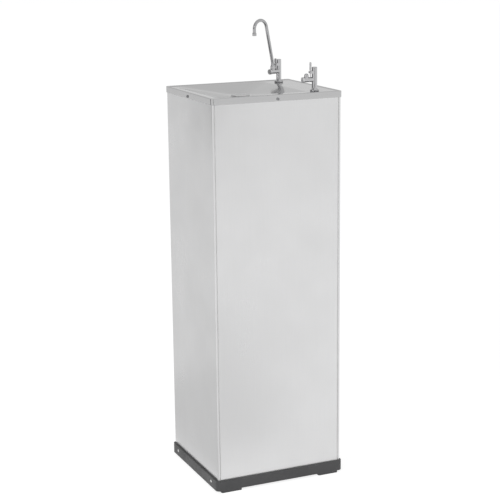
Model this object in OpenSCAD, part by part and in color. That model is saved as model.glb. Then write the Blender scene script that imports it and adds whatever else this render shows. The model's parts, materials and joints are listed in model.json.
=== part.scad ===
// Column water cooler with a glass tap and a drinking jet on a stainless top.
// Millimetres, +Z up. The origin lies on the floor under the middle of the plinth,
// -Y is the front and +X the side that carries the taps.

/* [Cabinet] */
// Width over the rim of the top
rim_w = 338; // [325:1:380]
// Depth over the rim of the top
rim_d = 300; // [296:1:340]
// Height from the floor to the top of the rim
rim_z = 970; // [940:1:1060]
// Height of the skirt that hangs over the panels
rim_skirt = 15.5; // [14:0.5:20]
// How far the rim stands out past the panels
rim_over = 2; // [1.8:0.1:2.6]
// Thickness of the stainless sheet
sheet = 1; // [0.8:0.1:1.2]
// Bend radius of the cabinet's corners, on the middle of the sheet
corner_r = 3; // [2:0.25:3.5]
// Bend radius of the folds at the seams, on the middle of the sheet
fold_r = 1.5; // [1:0.25:1.75]
// Width of the side panels' flanges on the front
front_flange = 6; // [6:0.5:10]
// Width of the seam beside the front panel
seam = 0.6; // [0.4:0.1:1.4]
// Depth of the returns behind the seams
return_d = 14; // [12:1:18]
// Width of the side panels' flanges on the rear
rear_flange = 16; // [15:1:19]
// Depth of the recess in the rear
rear_recess = 33; // [31:1:35]
// Height of the rear panel's lower edge, over the open machine bay
bay_z = 260; // [250:1:280]

/* [Plinth] */
// How far the plinth stands out past the panels
plinth_over = 5.2; // [3.6:0.1:6]
// Height of the plinth's top
plinth_top = 31; // [28:1:40]
// Corner radius of the plinth
plinth_r = 11; // [8:0.5:11.5]
// Thickness of the plinth's floor
plinth_floor = 3; // [2.6:0.1:4]
// Height of the feet
foot_h = 5.3; // [4:0.1:8]
// Width of a foot
foot_w = 54; // [40:1:70]
// Depth of a foot
foot_d = 40; // [30:1:60]
// Distance of a foot from the plinth's side
foot_inset = 13; // [10:1:25]
// Diameter of the peg that holds a foot
peg_d = 8; // [6:0.5:12]
// Height of the peg that holds a foot
peg_h = 1.8; // [1.4:0.1:2]
// Distance of the plinth's screws from the middle
base_screw_y = 113; // [90:1:125]

/* [Screws] */
// Diameter of the cabinet screws
screw_d = 3.6; // [3:0.1:4]
// Length of the cabinet screws
screw_len = 6; // [5.6:0.1:6.5]
// Diameter of the cabinet screws' heads
head_d = 7; // [6:0.1:8]
// Height of the cabinet screws' heads
head_h = 1.8; // [1.4:0.1:1.9]

/* [Top] */
// Height of the raised rim over the deck
rim_lip = 1.5; // [1:0.1:2.5]
// Width of the raised rim
lip_w = 5; // [4:0.5:7]
// Chamfer along the rim's upper edge
rim_edge = 1.2; // [0.6:0.1:1.4]
// Distance of the basin from the rim's left edge
dish_left = 16; // [14:0.5:24]
// Distance of the basin from the rim's right edge, the width of the tap deck
dish_right = 79; // [76:0.5:90]
// Distance of the basin from the rim's front and rear edges
dish_end = 12; // [10:0.5:30]
// Corner radius of the basin
dish_r = 28; // [15:1:40]
// Fall of the basin from the deck to the drain
dish_fall = 13.5; // [10:0.5:18]
// Diameter of the flat round the drain
sump_d = 58; // [54:1:70]

/* [Drain] */
// Diameter of the drain body's flange
drain_flange_d = 46; // [43:1:50]
// Height of the drain body's flange
drain_flange_h = 2; // [1.8:0.1:2.5]
// Diameter of the strainer
strainer_d = 38; // [36:0.5:40]
// Thickness of the strainer
strainer_t = 1.2; // [1:0.1:1.5]
// Diameter of the strainer's holes
strainer_hole_d = 3.6; // [2.5:0.1:4.5]
// Diameter of the drain body's thread
drain_thread_d = 30; // [28:0.5:32]
// Length of the drain body's thread
drain_thread_len = 32; // [24:1:38]
// Diameter of the drain's hose spigots
spigot_d = 20; // [18:0.5:21]
// Length of the drain's hose spigots
spigot_len = 20; // [16:1:22]
// Bore of the drain
drain_bore = 15; // [12:0.5:16]
// Thickness of the drain gasket
drain_gasket_t = 2; // [1:0.1:3]
// Height of the drain's lock nut
drain_nut_h = 8; // [6:0.5:12]

/* [Taps] */
// Distance of the glass tap from the rim's right edge
glass_side = 51; // [47:0.5:55]
// Distance of the glass tap from the rim's rear edge
glass_back = 50; // [49:0.5:60]
// Turn of the glass tap's arm toward the front
glass_turn = 20; // [0:1:30]
// Distance of the jet tap from the rim's right edge
jet_side = 59; // [49:0.5:62]
// Distance of the jet tap from the rim's front edge
jet_front = 30; // [25:0.5:50]
// Turn of the jet tap's arm toward the front
jet_turn = 0; // [0:1:10]
// Height of a tap's body over the deck
tap_h = 58.5; // [54:0.5:62]
// Diameter of a tap's body
stem_d = 13; // [12:0.25:13.5]
// Diameter of a tap's flange
flange_d = 22; // [19:0.5:24]
// Height of a tap's flange
flange_h = 3; // [2:0.25:5]
// Thickness of the gasket under a tap
gasket_t = 1.5; // [1:0.1:2.5]
// Height of the arm's axis over the deck
arm_z = 28.5; // [27:0.5:30]
// Diameter of the arm
arm_d = 12; // [11:0.25:12.5]
// Length of the arm, from the body's axis to its cap
arm_len = 28.5; // [28:0.5:32]
// Diameter of the arm's cap
cap_d = 13.5; // [12:0.25:15]
// Thickness of the arm's cap
cap_h = 4.5; // [3:0.25:7]
// Distance of the outlet from the body's axis
port_x = 21.5; // [21:0.25:22.5]
// Diameter of the outlet boss
boss_d = 11.5; // [11:0.25:12]
// Height of the outlet boss over the arm's axis
boss_h = 7; // [6.5:0.25:9]
// Diameter of the shank that goes through the deck
shank_d = 12; // [11:0.25:13]
// Length of the shank under the deck
shank_len = 45; // [35:1:55]
// Height of the lock nut under the deck
tap_nut_h = 7; // [5:0.5:10]
// Width of the lock nut across its flats
tap_nut_af = 19; // [17:0.5:21]

/* [Tap valve] */
// Bore of the tap's body
tap_bore = 6; // [5:0.25:6.5]
// Bore of the valve seat
seat_bore = 4; // [3:0.25:4.5]
// Distance of the valve seat from the body's axis
seat_x = 6; // [5.75:0.05:6.2]
// Diameter of the valve chamber in the arm
chamber_d = 8; // [7.6:0.1:8.4]
// Diameter of the plunger's core under the lever's tail
core_d = 3; // [2.6:0.1:3.4]
// Length of the plunger's land
land_len = 4; // [3:0.25:4.5]
// Length of the plunger's spring guide
guide_len = 6; // [4:0.25:6.5]
// Diameter of the outlet passage
port_bore = 5; // [4:0.25:5.5]
// Length of the cap's spigot
cap_spigot = 3; // [2:0.25:3.5]
// Diameter of the spring wire
wire_d = 0.7; // [0.5:0.05:0.8]
// Number of turns of the spring
spring_turns = 6; // [4:1:7]

/* [Levers] */
// Distance of the lever's pivot from the body's axis
pivot_x = 10.5; // [10.3:0.1:10.8]
// Height of the lever's pivot over the deck
pivot_z = 46; // [44:0.5:48]
// Diameter of the lever's hub
hub_d = 6; // [5:0.25:6.5]
// Width of the lever's hub
hub_w = 6; // [5:0.25:6.5]
// Diameter of the lever's pin
pin_d = 2.5; // [2:0.1:3]
// Thickness of the ears that hold the pin
ear_t = 2; // [1.5:0.1:2.5]
// Thickness of the lever's tail
tail_t = 2.4; // [2:0.1:2.6]
// Width of the lever's tail
tail_w = 3; // [2.5:0.1:3.5]
// Thickness of the lever's blade
blade_t = 2; // [1.5:0.1:2.4]
// Width of the lever's blade
blade_w = 8; // [7:0.25:10]
// Height of the glass lever's tip over the deck
glass_blade_z = 61; // [58:0.5:66]
// Height of the jet lever's tip over the deck
jet_blade_z = 70; // [62:0.5:74]
// Angle through which a lever is pressed
lever_turn = 7; // [5:0.5:8]

/* [Spout] */
// Diameter of the gooseneck tube
goose_d = 8; // [7:0.25:8.25]
// Bore of the gooseneck tube
goose_bore = 6; // [5:0.25:6.4]
// Diameter of the ferrule on which the gooseneck turns
ferrule_d = 8.6; // [8.5:0.1:9]
// Height of that ferrule
goose_root = 12; // [10:0.5:16]
// Lean of the gooseneck
goose_lean = 13; // [6:0.5:16]
// Bend radius at the gooseneck's foot
goose_foot_r = 30; // [20:1:40]
// Length of the gooseneck's straight stretch
goose_run = 90; // [60:1:120]
// Bend radius of the gooseneck's arch
goose_r = 21; // [18:0.5:26]
// Straight end of the gooseneck
goose_drop = 14; // [10:0.5:20]
// Diameter of the spout tip
tip_d = 10.4; // [9.6:0.1:12]
// Length of the spout tip
tip_len = 8; // [6:0.5:10]
// Height of the swivel collar
collar_h = 8; // [6:0.5:9]
// Diameter of the jet nozzle
nozzle_d = 10.5; // [9.5:0.25:11]
// Height of the jet nozzle's rim
nozzle_rim = 3; // [2:0.25:4]
// Diameter of the jet's hole
jet_d = 2.6; // [2:0.1:3.2]

/* [Cold tank] */
// Distance of the shelf's top under the rim
shelf_drop = 410; // [395:1:425]
// Thickness of the shelf
shelf_t = 1.5; // [1:0.1:2]
// Depth of the shelf's side flanges
shelf_flange = 20; // [12:1:28]
// Middle of the tank, to the right of the centre
tank_x = 35; // [30:1:36]
// Depth of the cabinet that the tank leaves for insulation, lines and panels
tank_room = 170; // [166:1:180]
// Gap between the insulation and the front panel
foam_gap = 10.9; // [8:0.1:14]
// Height of the tank
tank_h = 170; // [150:1:185]
// Wall of the tank
tank_wall = 1.2; // [1:0.1:2]
// Diameter of the evaporator tube
evap_d = 6; // [5:0.25:7]
// Whole turns of the evaporator tube
evap_turns = 7; // [4:1:8]
// Pitch of the evaporator tube
evap_pitch = 12; // [10:0.5:13]
// Insulation beside the coil
foam_side = 18; // [14:0.5:20]
// Insulation under and over the tank
foam_end = 25; // [20:1:30]

/* [Water path] */
// Diameter of the water hoses' nipples
nipple_d = 9; // [8:0.25:9.5]
// Length of the water hoses' nipples
nipple_len = 14; // [12:0.5:16]
// Wall of the water hoses
hose_wall = 2; // [1.5:0.1:2.5]
// Wall of the drain hose
drain_hose_wall = 2.4; // [2:0.1:3]
// Diameter of the filter
filter_d = 54; // [48:1:58]
// Length of the filter
filter_len = 220; // [200:1:235]
// Distance of the filter's top under the shelf
filter_drop = 70; // [66:1:76]
// Filter, in front of the centre
filter_y = 70; // [62:1:80]
// Distance of the filter's axis from the left wall
filter_wall = 36; // [34:0.5:40]
// Thickness of the filter clips
clip_t = 3; // [2:0.25:3.5]
// Height of the filter clips
clip_h = 14; // [10:1:20]
// Height of the rear fittings over the rear panel's lower edge
fitting_rise = 35; // [33:0.5:38]
// Water inlet, to the right of the centre
inlet_x = 50; // [46:0.5:54]
// Drain outlet, to the left of the centre
outlet_x = 85; // [82:0.5:90]
// Diameter of the water inlet's thread
thread_d = 20.9; // [19:0.1:22]
// Length of the water inlet's thread
thread_len = 16; // [12:0.5:18]
// Width of the inlet's and outlet's hexagons across the flats
hex_af = 27; // [25:0.5:30]
// Thickness of the inlet's and outlet's hexagons
hex_h = 5; // [4:0.25:6]

/* [Compressor] */
// Middle of the compressor, behind the centre
comp_y = 25; // [18:1:30]
// Diameter of the compressor's shell
comp_d = 136; // [124:1:140]
// Height of the compressor's shell
comp_h = 150; // [130:1:156]
// Rounding of the compressor's top
comp_dome = 30; // [20:1:40]
// Spacing of the mounts, left to right
mount_w = 165; // [155:1:180]
// Spacing of the mounts, front to rear
mount_d = 100; // [92:1:110]
// Diameter of the rubber mounts
mount_od = 18; // [16:0.5:20]
// Diameter of the rubber mounts' necks
neck_d = 12; // [11:0.25:13]
// Height of each half of a rubber mount
mount_h = 5; // [4:0.25:7]
// Thickness of the compressor's foot plate
plate_t = 2.4; // [2:0.1:3]
// Height of the bosses under the rubber mounts
mount_boss_h = 7; // [6:0.25:10]
// Diameter of the mounting bolts
bolt_d = 6; // [5:0.1:6.5]
// Depth of the mounting bolts in their bosses
bolt_reach = 8; // [6:0.25:8.5]

/* [Condenser] */
// Diameter of the condenser tube
cond_d = 5; // [4:0.25:6]
// Length of the condenser's straight runs
cond_run = 184; // [176:1:190]
// Pitch of the condenser's runs
cond_pitch = 46; // [40:1:48]
// Distance of the condenser behind the rear panel
cond_gap = 14; // [12:0.5:15]
// Height of the condenser over the rear panel's lower edge
cond_rise = 85; // [80:1:95]
// Pitch of the condenser's wires
cond_wire_pitch = 10; // [9:0.5:12]
// Diameter of the condenser's wires
cond_wire_d = 1.6; // [1.2:0.1:2]
// Diameter of the filter drier
drier_d = 16; // [14:0.5:20]
// Length of the filter drier
drier_len = 110; // [90:1:120]
// Diameter of the discharge and suction lines
line_d = 6; // [5:0.25:7]
// Diameter of the capillary tube
capillary_d = 2.6; // [2:0.1:3]

/* [Thermostat] */
// Thermostat, to the right of the centre
thermo_x = 20; // [15:0.5:26]
// Distance of the thermostat under the rim
thermo_drop = 45; // [42:0.5:55]
// Width and height of the thermostat's body
thermo_w = 34; // [28:0.5:38]
// Depth of the thermostat's body
thermo_d = 28; // [22:0.5:32]
// Diameter of the knob's stem
stem_axle_d = 6; // [5:0.25:7]
// Diameter of the knob
knob_d = 32; // [26:0.5:36]
// Height of the knob
knob_h = 14; // [10:0.5:18]
// Diameter of the sensor's bulb
bulb_d = 6; // [5:0.25:6]

/* [Cord gland] */
// Cord gland, to the left of the centre
gland_x = 15; // [8:0.5:20]
// Bore of the cord gland
gland_bore = 8; // [7:0.25:9]
// Diameter of the cord gland in the panel
gland_d = 13; // [12:0.25:15]

/* [Clearances] */
// Radial clearance of a running fit
run_fit = 0.05; // [0.03:0.01:0.08]
// Radial clearance of a fixed fit
hold_fit = 0.02; // [0.02:0.01:0.04]
// Radial clearance of screws and shanks in their holes
hole_fit = 0.3; // [0.2:0.05:0.35]
// Clearance between pieces that pass each other
slip = 0.4; // [0.3:0.05:0.5]

/* [Hidden] */
$fn = 64;

// Sides and corner steps of the swept tubes
hose_sides = 10;
line_sides = 8;
coil_sides = 6;
corner_steps = 4;
coil_steps = 16;
spring_steps = 8;
goose_sides = 24;
lean_steps = 3;
arch_steps = 20;
// Depth by which cuts run past the faces that they open
past = 1;

// Cabinet
cab_x = rim_w / 2 - rim_over;
cab_y = rim_d / 2 - rim_over;
in_x = cab_x - sheet;
deck_z = rim_z - rim_lip;
deck_under = deck_z - sheet;
tray_z = foot_h + plinth_floor;
seam_x = cab_x - front_flange;
front_x = seam_x - seam;
rear_y = cab_y - rear_recess;
rear_out = rear_y + sheet;
recess_x = in_x - rear_flange - fold_r;
plinth_w = 2 * (cab_x + plinth_over);
plinth_d = 2 * (cab_y + plinth_over);
screw_hole_d = screw_d + 2 * hole_fit;
rim_screw_z = deck_under - rim_skirt / 2;
rear_screw_x = cab_x - rear_flange / 2;
base_screw_z = (tray_z + plinth_top) / 2;
head_sink = 0.1;
counterbore = head_h + head_sink;
slot_w = 0.8;
foot_r = 4;
seam_screw_y = -cab_y + (sheet / 2 + fold_r + return_d) / 2;

// Top and drain
dish_w = rim_w - dish_left - dish_right;
dish_d = rim_d - 2 * dish_end;
dish_x = (dish_left - dish_right) / 2;
dish_z = deck_z - dish_fall;
dish_under = dish_z - sheet;
drain_thread_z = dish_under - drain_thread_len;
spigot_z = drain_thread_z - spigot_len;
strainer_z = dish_z + drain_flange_h - strainer_t;
strainer_rings = 2;
strainer_web = 1.1;
gasket_inset = 0.5;
drain_wall = 3;
drain_step = 4;
drain_nut_wall = 5;

// Taps
glass_x = rim_w / 2 - glass_side;
glass_y = rim_d / 2 - glass_back;
jet_x = rim_w / 2 - jet_side;
jet_y = rim_d / 2 - jet_front;
boss_z = arm_z + boss_h;
nipple_z = deck_z - shank_len - nipple_len;
groove_w = tail_t + 2 * slip;
land_x = pivot_x + groove_w / 2 + land_len;
spring_x = arm_len - cap_spigot;
tail_z = arm_z + core_d / 2 + slip;
tail_throw = (pivot_z - tail_z) * tan(lever_turn);
ear_y = hub_w / 2 + slip;
pin_len = 2 * (ear_y + ear_t);
land_d = chamber_d - 2 * run_fit;
spring_r = (core_d + chamber_d) / 4;
cone_h = 3;
cone_in = 1.5;
stem_round = 2;
cap_round = 0.8;

// Spout, in the upright plane of the tap's arm
root_z = boss_z + slip / 2;
lean_start = [port_x, 0, root_z + goose_root];
rise_start = lean_start + goose_foot_r * [1 - cos(goose_lean), 0, sin(goose_lean)];
rise_end = rise_start + goose_run * [sin(goose_lean), 0, cos(goose_lean)];
arch_mid = rise_end + goose_r * [cos(goose_lean), 0, -sin(goose_lean)];
drop_end = arch_mid + [goose_r, 0, -goose_drop];
ferrule_bore = goose_bore + slip;
ferrule_floor = 3;
collar_taper = 3.2;
collar_draw = 0.6;
tip_lip = 2;
tip_taper = 1.6;
tip_draw = 0.7;

// Cold tank
shelf_z = rim_z - shelf_drop;
tank_d = rim_d - tank_room;
evap_r = (tank_d / 2 + slip + evap_d / 2) / cos(180 / coil_steps);
cavity_r = evap_r + evap_d / 2 + slip;
foam_half = cavity_r + foam_side;
tank_y = cab_y - sheet - foam_gap - foam_half;
tank = [tank_x, -tank_y, shelf_z + foam_end];
foam_rear = foam_half - tank_y;
foam_top = tank.z + tank_h + slip + foam_end;
evap_z = tank.z + evap_pitch;
evap_len = evap_turns + 0.5;
tee_rise = 24;
tee_z = foam_top + tee_rise;
tee_reach = 30;
tank_stub_d = 12;
socket_wall = 3;
shelf_gap = 4;
stub_z = shelf_z - shelf_t - nipple_len;
bulb_r = tank_d / 2 + slip + bulb_d / 2;
bulb_turn = 105;
bulb = [tank.x + bulb_r * cos(bulb_turn), tank.y + bulb_r * sin(bulb_turn)];

// Water path
hose_bore = nipple_d + 4 * run_fit;
hose_d = hose_bore + 2 * hose_wall;
drain_hose_bore = spigot_d + 4 * run_fit;
drain_hose_d = drain_hose_bore + 2 * drain_hose_wall;
hose_bend = 16;
hose_gap = 1;
drain_clear = 4;
drain_lead = 38;
drain_slant = 36;
drain_drop_y = foam_rear + drain_hose_d / 2 + drain_clear;
tee_lead = 40;
tap_lead = 55;
fitting_z = bay_z + fitting_rise;
filter_top = shelf_z - filter_drop;
filter_bottom = filter_top - filter_len;
filter_x = -in_x + filter_wall;
nut_h = 8;
inner_thread = nut_h + 2;
inlet_bore = 7;
drain_bend = rear_y - inner_thread - spigot_len - drain_drop_y - slip;
inlet_sag = 26;
inlet_way_x = 60;
inlet_way_y = 20;
filter_round = 6;
filter_bend = 12;
filter_lead = 30;

// Compressor
mount_boss_z = tray_z + mount_boss_h;
plate_z = mount_boss_z + mount_h + run_fit;
neck_h = plate_t + 2 * run_fit;
mount_top = mount_boss_z + 2 * mount_h + neck_h;
shell_rise = 10;
shell_z = plate_z + plate_t + shell_rise;
shell_top = shell_z + comp_h;
stub_x = 38;
stub_back = 28;
stub_y = comp_y + stub_back;
stub_rise = 14;
stub_top = shell_top + stub_rise;
stub_wall = 1;
line_bend = 14;
shell_low_r = 16;
band_rise = 78;
band_z = shell_z + band_rise;
band_h = 5;
band_out = 2.5;
pedestal_d = 84;
plate_margin = 3;
plate_r = 8;
cover_rise = 22;
cover_z = shell_z + cover_rise;
cover_w = 56;
cover_in = 14;
cover_out = 24;
washer_t = 1.5;
bolt_head_d = 1.8 * bolt_d;
bolt_head_h = 0.65 * bolt_d;

// Condenser
cond_y = rear_out + cond_gap;
cond_z = bay_z + cond_rise;
cond_rows = 11;
cond_top = cond_z + (cond_rows - 1) * cond_pitch;
cond_edge = (cond_run + cond_pitch) / 2;
riser_gap = 11;
riser_x = -cond_edge - riser_gap;
riser_rise = 10;
riser_z = bay_z + riser_rise;
drier_gap = 8;
drier_z = cond_z - cond_pitch / 2 - drier_gap;
drier_neck = 12;
bend_gap = 0.5;
wire_gap = 0.1;
wire_y = cond_d / 2 + cond_wire_d / 2 + wire_gap;
wire_count = 18;
wire_over = 15;
clip_w = 6;
discharge_rise = 34;
suction_rise = 40;
suction_gap = 36;
capillary_gap = 48;
capillary_sag = 36;
capillary_lift = 40;
capillary_in = 11;

// Thermostat
thermo_z = rim_z - thermo_drop;
axle_depth = 17;
knob_round = 2;
sensor_d = 2.4;
sensor_rise = 54;
sensor_z = foam_top + sensor_rise;
bulb_len = 37;
bulb_drop = 14;
bulb_z = tank.z + tank_h - bulb_len - bulb_drop;

// Cord gland
gland_lip = 2.5;
gland_barb = 1;
gland_depth = 8;

// Colours
steel = [0.80, 0.80, 0.80];
chrome = [0.86, 0.87, 0.89];
charcoal = [0.27, 0.27, 0.28];
black = [0.10, 0.10, 0.11];
copper = [0.72, 0.45, 0.30];
brass = [0.76, 0.64, 0.38];
foam = [0.93, 0.93, 0.92];
white = [0.95, 0.95, 0.95];
rubber = [0.16, 0.16, 0.16];

// Rectangle with true round corners
module rounded_square(w, d, r) {
    square([w - 2 * r, d], center = true);
    square([w, d - 2 * r], center = true);
    for (sx = [-1, 1], sy = [-1, 1]) {
        translate([sx * (w / 2 - r), sy * (d / 2 - r)]) circle(r);
    }
}

// Upright block with round corners between two heights
module prism(w, d, r, z0, z1) {
    translate([0, 0, z0]) linear_extrude(z1 - z0) rounded_square(w, d, r);
}

// Rectangle between two opposite corners
module span(a, b) {
    translate([min(a.x, b.x), min(a.y, b.y)]) square([abs(a.x - b.x), abs(a.y - b.y)]);
}

// Section of a folded sheet along a path that runs parallel to X and Y
module folded(path, radii) {
    last = len(path) - 1;
    for (i = [0 : last - 1]) {
        run = unit(path[i + 1] - path[i]);
        half = sheet / 2 * [abs(run.y), abs(run.x)];
        start = path[i] + (i > 0 ? radii[i - 1] : 0) * run;
        end = path[i + 1] - (i < last - 1 ? radii[i] : 0) * run;
        low = [min(start.x, end.x), min(start.y, end.y)];
        high = [max(start.x, end.x), max(start.y, end.y)];
        span(low - half, high + half);
    }
    for (i = [1 : last - 1]) {
        from = unit(path[i] - path[i - 1]);
        to = unit(path[i + 1] - path[i]);
        r = radii[i - 1];
        outer = r + sheet / 2;
        mid = path[i] + r * (to - from);
        intersection() {
            translate(mid) difference() {
                circle(outer);
                circle(r - sheet / 2);
            }
            span(mid, mid + outer * (from - to));
        }
    }
}

// Round pillar with rounded upper edge
module pillar(d, h, r) {
    rotate_extrude() {
        square([d / 2, h - r]);
        square([d / 2 - r, h]);
        translate([d / 2 - r, h - r]) intersection() {
            circle(r);
            square(r);
        }
    }
}

// Hexagonal block with a round hole
module hex_nut(af, h, bore) {
    difference() {
        cylinder(d = af / cos(30), h = h, $fn = 6);
        translate([0, 0, -past]) cylinder(d = bore, h = h + 2 * past);
    }
}

// Screw whose head lies under the origin and whose shank runs up
module screw() {
    difference() {
        union() {
            translate([0, 0, -head_h]) cylinder(d = head_d, h = head_h);
            cylinder(d = screw_d, h = screw_len);
        }
        for (turn = [0, 90]) {
            rotate(turn) translate([-head_d / 3, -slot_w / 2, -head_h - past])
                cube([head_d * 2 / 3, slot_w, past + head_h / 2]);
        }
    }
}

// Clear hole for such a screw, through everything near its head
module screw_hole() {
    translate([0, 0, -past]) cylinder(d = screw_hole_d, h = screw_len + 2 * past);
}

// Places of the screws that hold the top's skirt
module at_rim_screws() {
    translate([0, -rim_d / 2, rim_screw_z]) rotate([-90, 0, 0]) children();
    for (side = [-1, 1]) {
        translate([side * rim_w / 2, 0, rim_screw_z]) rotate([0, -90 * side, 0]) children();
        translate([side * rear_screw_x, rim_d / 2, rim_screw_z]) rotate([90, 0, 0]) children();
    }
}

// Places of the screws through the rear flanges
module at_rear_screws() {
    for (side = [-1, 1], share = [0.08, 0.5, 0.9]) {
        z = bay_z + share * (deck_under - bay_z);
        translate([side * rear_screw_x, cab_y, z]) rotate([90, 0, 0]) children();
    }
}

// Places of the screws that join front and side panels behind the seams
module at_seam_screws() {
    for (side = [-1, 1], share = [0.15, 0.5, 0.85]) {
        z = tray_z + share * (deck_under - tray_z);
        translate([side * (front_x - sheet), seam_screw_y, z]) rotate([0, 90 * side, 0]) children();
    }
}

// Places of the screws through the plinth's sides
module at_base_screws() {
    for (side = [-1, 1], end = [-1, 1]) {
        translate([side * (plinth_w / 2 - counterbore), end * base_screw_y, base_screw_z])
            rotate([0, -90 * side, 0]) children();
    }
}

// Places of the four feet
module at_feet() {
    x = plinth_w / 2 - foot_inset - foot_w / 2;
    y = plinth_d / 2 - foot_d / 2 - slip;
    for (side = [-1, 1], end = [-1, 1]) {
        translate([side * x, end * y, 0]) children();
    }
}

// Places of the compressor's four mounts
module at_mounts() {
    for (side = [-1, 1], end = [-1, 1]) {
        translate([side * mount_w / 2, comp_y + end * mount_d / 2, 0]) children();
    }
}

// Frame of a tap: origin on the deck, X along the arm
module at_tap(x, y, turn) {
    translate([x, y, deck_z]) rotate(180 + turn) children();
}

module at_glass_tap() {
    at_tap(glass_x, glass_y, glass_turn) children();
}

module at_jet_tap() {
    at_tap(jet_x, -jet_y, jet_turn) children();
}

// Frame of a fitting on the rear panel: origin on its outer face, Z to the rear
module at_rear(x, z) {
    translate([x, rear_out, z]) rotate([-90, 0, 0]) children();
}

function unit(v) = v / norm(v);

// Arc that rounds the corner at b between a and c
function round_corner(a, b, c, r) =
    let (u = unit(a - b), v = unit(c - b))
    let (half = acos(u * v) / 2)
    let (mid = b + unit(u + v) * r / sin(half), out = unit(b + u * r / tan(half) - mid))
    [for (i = [0 : corner_steps])
        let (t = (180 - 2 * half) * i / corner_steps)
        mid + r * (cos(t) * out - sin(t) * u)];

// Route through points with every corner rounded
function rounded_route(points, r) = [
    points[0],
    for (i = [1 : len(points) - 2]) each round_corner(points[i - 1], points[i], points[i + 1], r),
    points[len(points) - 1]
];

function tangents(p) = [for (i = [0 : len(p) - 1]) unit(p[min(i + 1, len(p) - 1)] - p[max(i - 1, 0)])];

function first_normal(t) = unit(cross(t, abs(t.z) < 0.9 ? [0, 0, 1] : [1, 0, 0]));

// Normals carried along the tangents without twist
function normals(t) = [
    for (i = 0, n = first_normal(t[0]);
        i < len(t);
        i = i + 1, n = i < len(t) ? unit(n - (n * t[i]) * t[i]) : n) n
];

// Rings of points round a route
function rings(p, r, sides) =
    let (t = tangents(p), n = normals(t))
    [for (i = [0 : len(p) - 1], k = [0 : sides - 1])
        p[i] + r * (cos(360 * k / sides) * n[i] + sin(360 * k / sides) * cross(t[i], n[i]))];

// Walls between rings, facing out or in
function walls(count, sides, first, inward) = [
    for (i = [0 : count - 2], k = [0 : sides - 1])
        let (a = first + i * sides + k, b = first + i * sides + (k + 1) % sides)
        let (c = b + sides, d = a + sides)
        each inward ? [[a, b, c], [a, c, d]] : [[a, c, b], [a, d, c]]
];

// Solid round rod along a route
module rod(route, d, sides) {
    end = (len(route) - 1) * sides;
    caps = [for (k = [1 : sides - 2]) each [[0, k, k + 1], [end, end + k + 1, end + k]]];
    polyhedron(rings(route, d / 2, sides), concat(walls(len(route), sides, 0, false), caps));
}

// Hollow tube along a route, with the bore clear of the facets
module tube(route, d, bore, sides) {
    count = len(route);
    inner = count * sides;
    end = inner - sides;
    caps = [
        for (k = [0 : sides - 1])
            let (o = k, p = (k + 1) % sides, i = inner + k, j = inner + (k + 1) % sides)
            each [[o, p, j], [o, j, i], [o + end, j + end, p + end], [o + end, i + end, j + end]]
    ];
    points = concat(rings(route, d / 2, sides), rings(route, bore / 2 / cos(180 / sides), sides));
    polyhedron(points, concat(walls(count, sides, 0, false), walls(count, sides, inner, true), caps));
}

module base_plinth() {
    well_r = corner_r + sheet / 2 + slip;
    color(charcoal) difference() {
        union() {
            difference() {
                prism(plinth_w, plinth_d, plinth_r, foot_h, plinth_top);
                prism(2 * (cab_x + slip), 2 * (cab_y + slip), well_r, tray_z, plinth_top + past);
            }
            at_mounts() translate([0, 0, tray_z - plinth_floor / 2])
                cylinder(d = mount_od, h = mount_boss_h + plinth_floor / 2);
        }
        at_mounts() translate([0, 0, mount_boss_z - bolt_reach - slip])
            cylinder(d = bolt_d + 2 * hold_fit, h = bolt_reach + slip + past);
        at_feet() translate([0, 0, foot_h - past])
            cylinder(d = peg_d + 2 * hole_fit, h = peg_h + hole_fit + past);
        at_base_screws() {
            screw_hole();
            translate([0, 0, -counterbore - past])
                cylinder(d = head_d + 2 * hole_fit, h = counterbore + past);
        }
    }
}

module feet() {
    color(charcoal) at_feet() {
        prism(foot_w, foot_d, foot_r, 0, foot_h);
        translate([0, 0, foot_h - past]) cylinder(d = peg_d, h = peg_h + past);
    }
}

// Side panel with its corner bends, front return and rear flange
module side_panel(side) {
    mid = sheet / 2;
    path = [
        [side * (seam_x + mid), -cab_y + return_d],
        [side * (seam_x + mid), -cab_y + mid],
        [side * (cab_x - mid), -cab_y + mid],
        [side * (cab_x - mid), cab_y - mid],
        [side * (cab_x - rear_flange), cab_y - mid]
    ];
    color(steel) difference() {
        translate([0, 0, tray_z]) linear_extrude(deck_under - tray_z)
            folded(path, [fold_r, corner_r, corner_r]);
        at_rim_screws() screw_hole();
        at_rear_screws() screw_hole();
        at_seam_screws() screw_hole();
        at_base_screws() screw_hole();
    }
}

module left_panel() {
    side_panel(-1);
}

module right_panel() {
    side_panel(1);
}

module front_panel() {
    mid = sheet / 2;
    path = [
        [-front_x + mid, -cab_y + return_d],
        [-front_x + mid, -cab_y + mid],
        [front_x - mid, -cab_y + mid],
        [front_x - mid, -cab_y + return_d]
    ];
    color(steel) difference() {
        translate([0, 0, tray_z]) linear_extrude(deck_under - tray_z) folded(path, [fold_r, fold_r]);
        at_rim_screws() screw_hole();
        at_seam_screws() screw_hole();
    }
}

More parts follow.
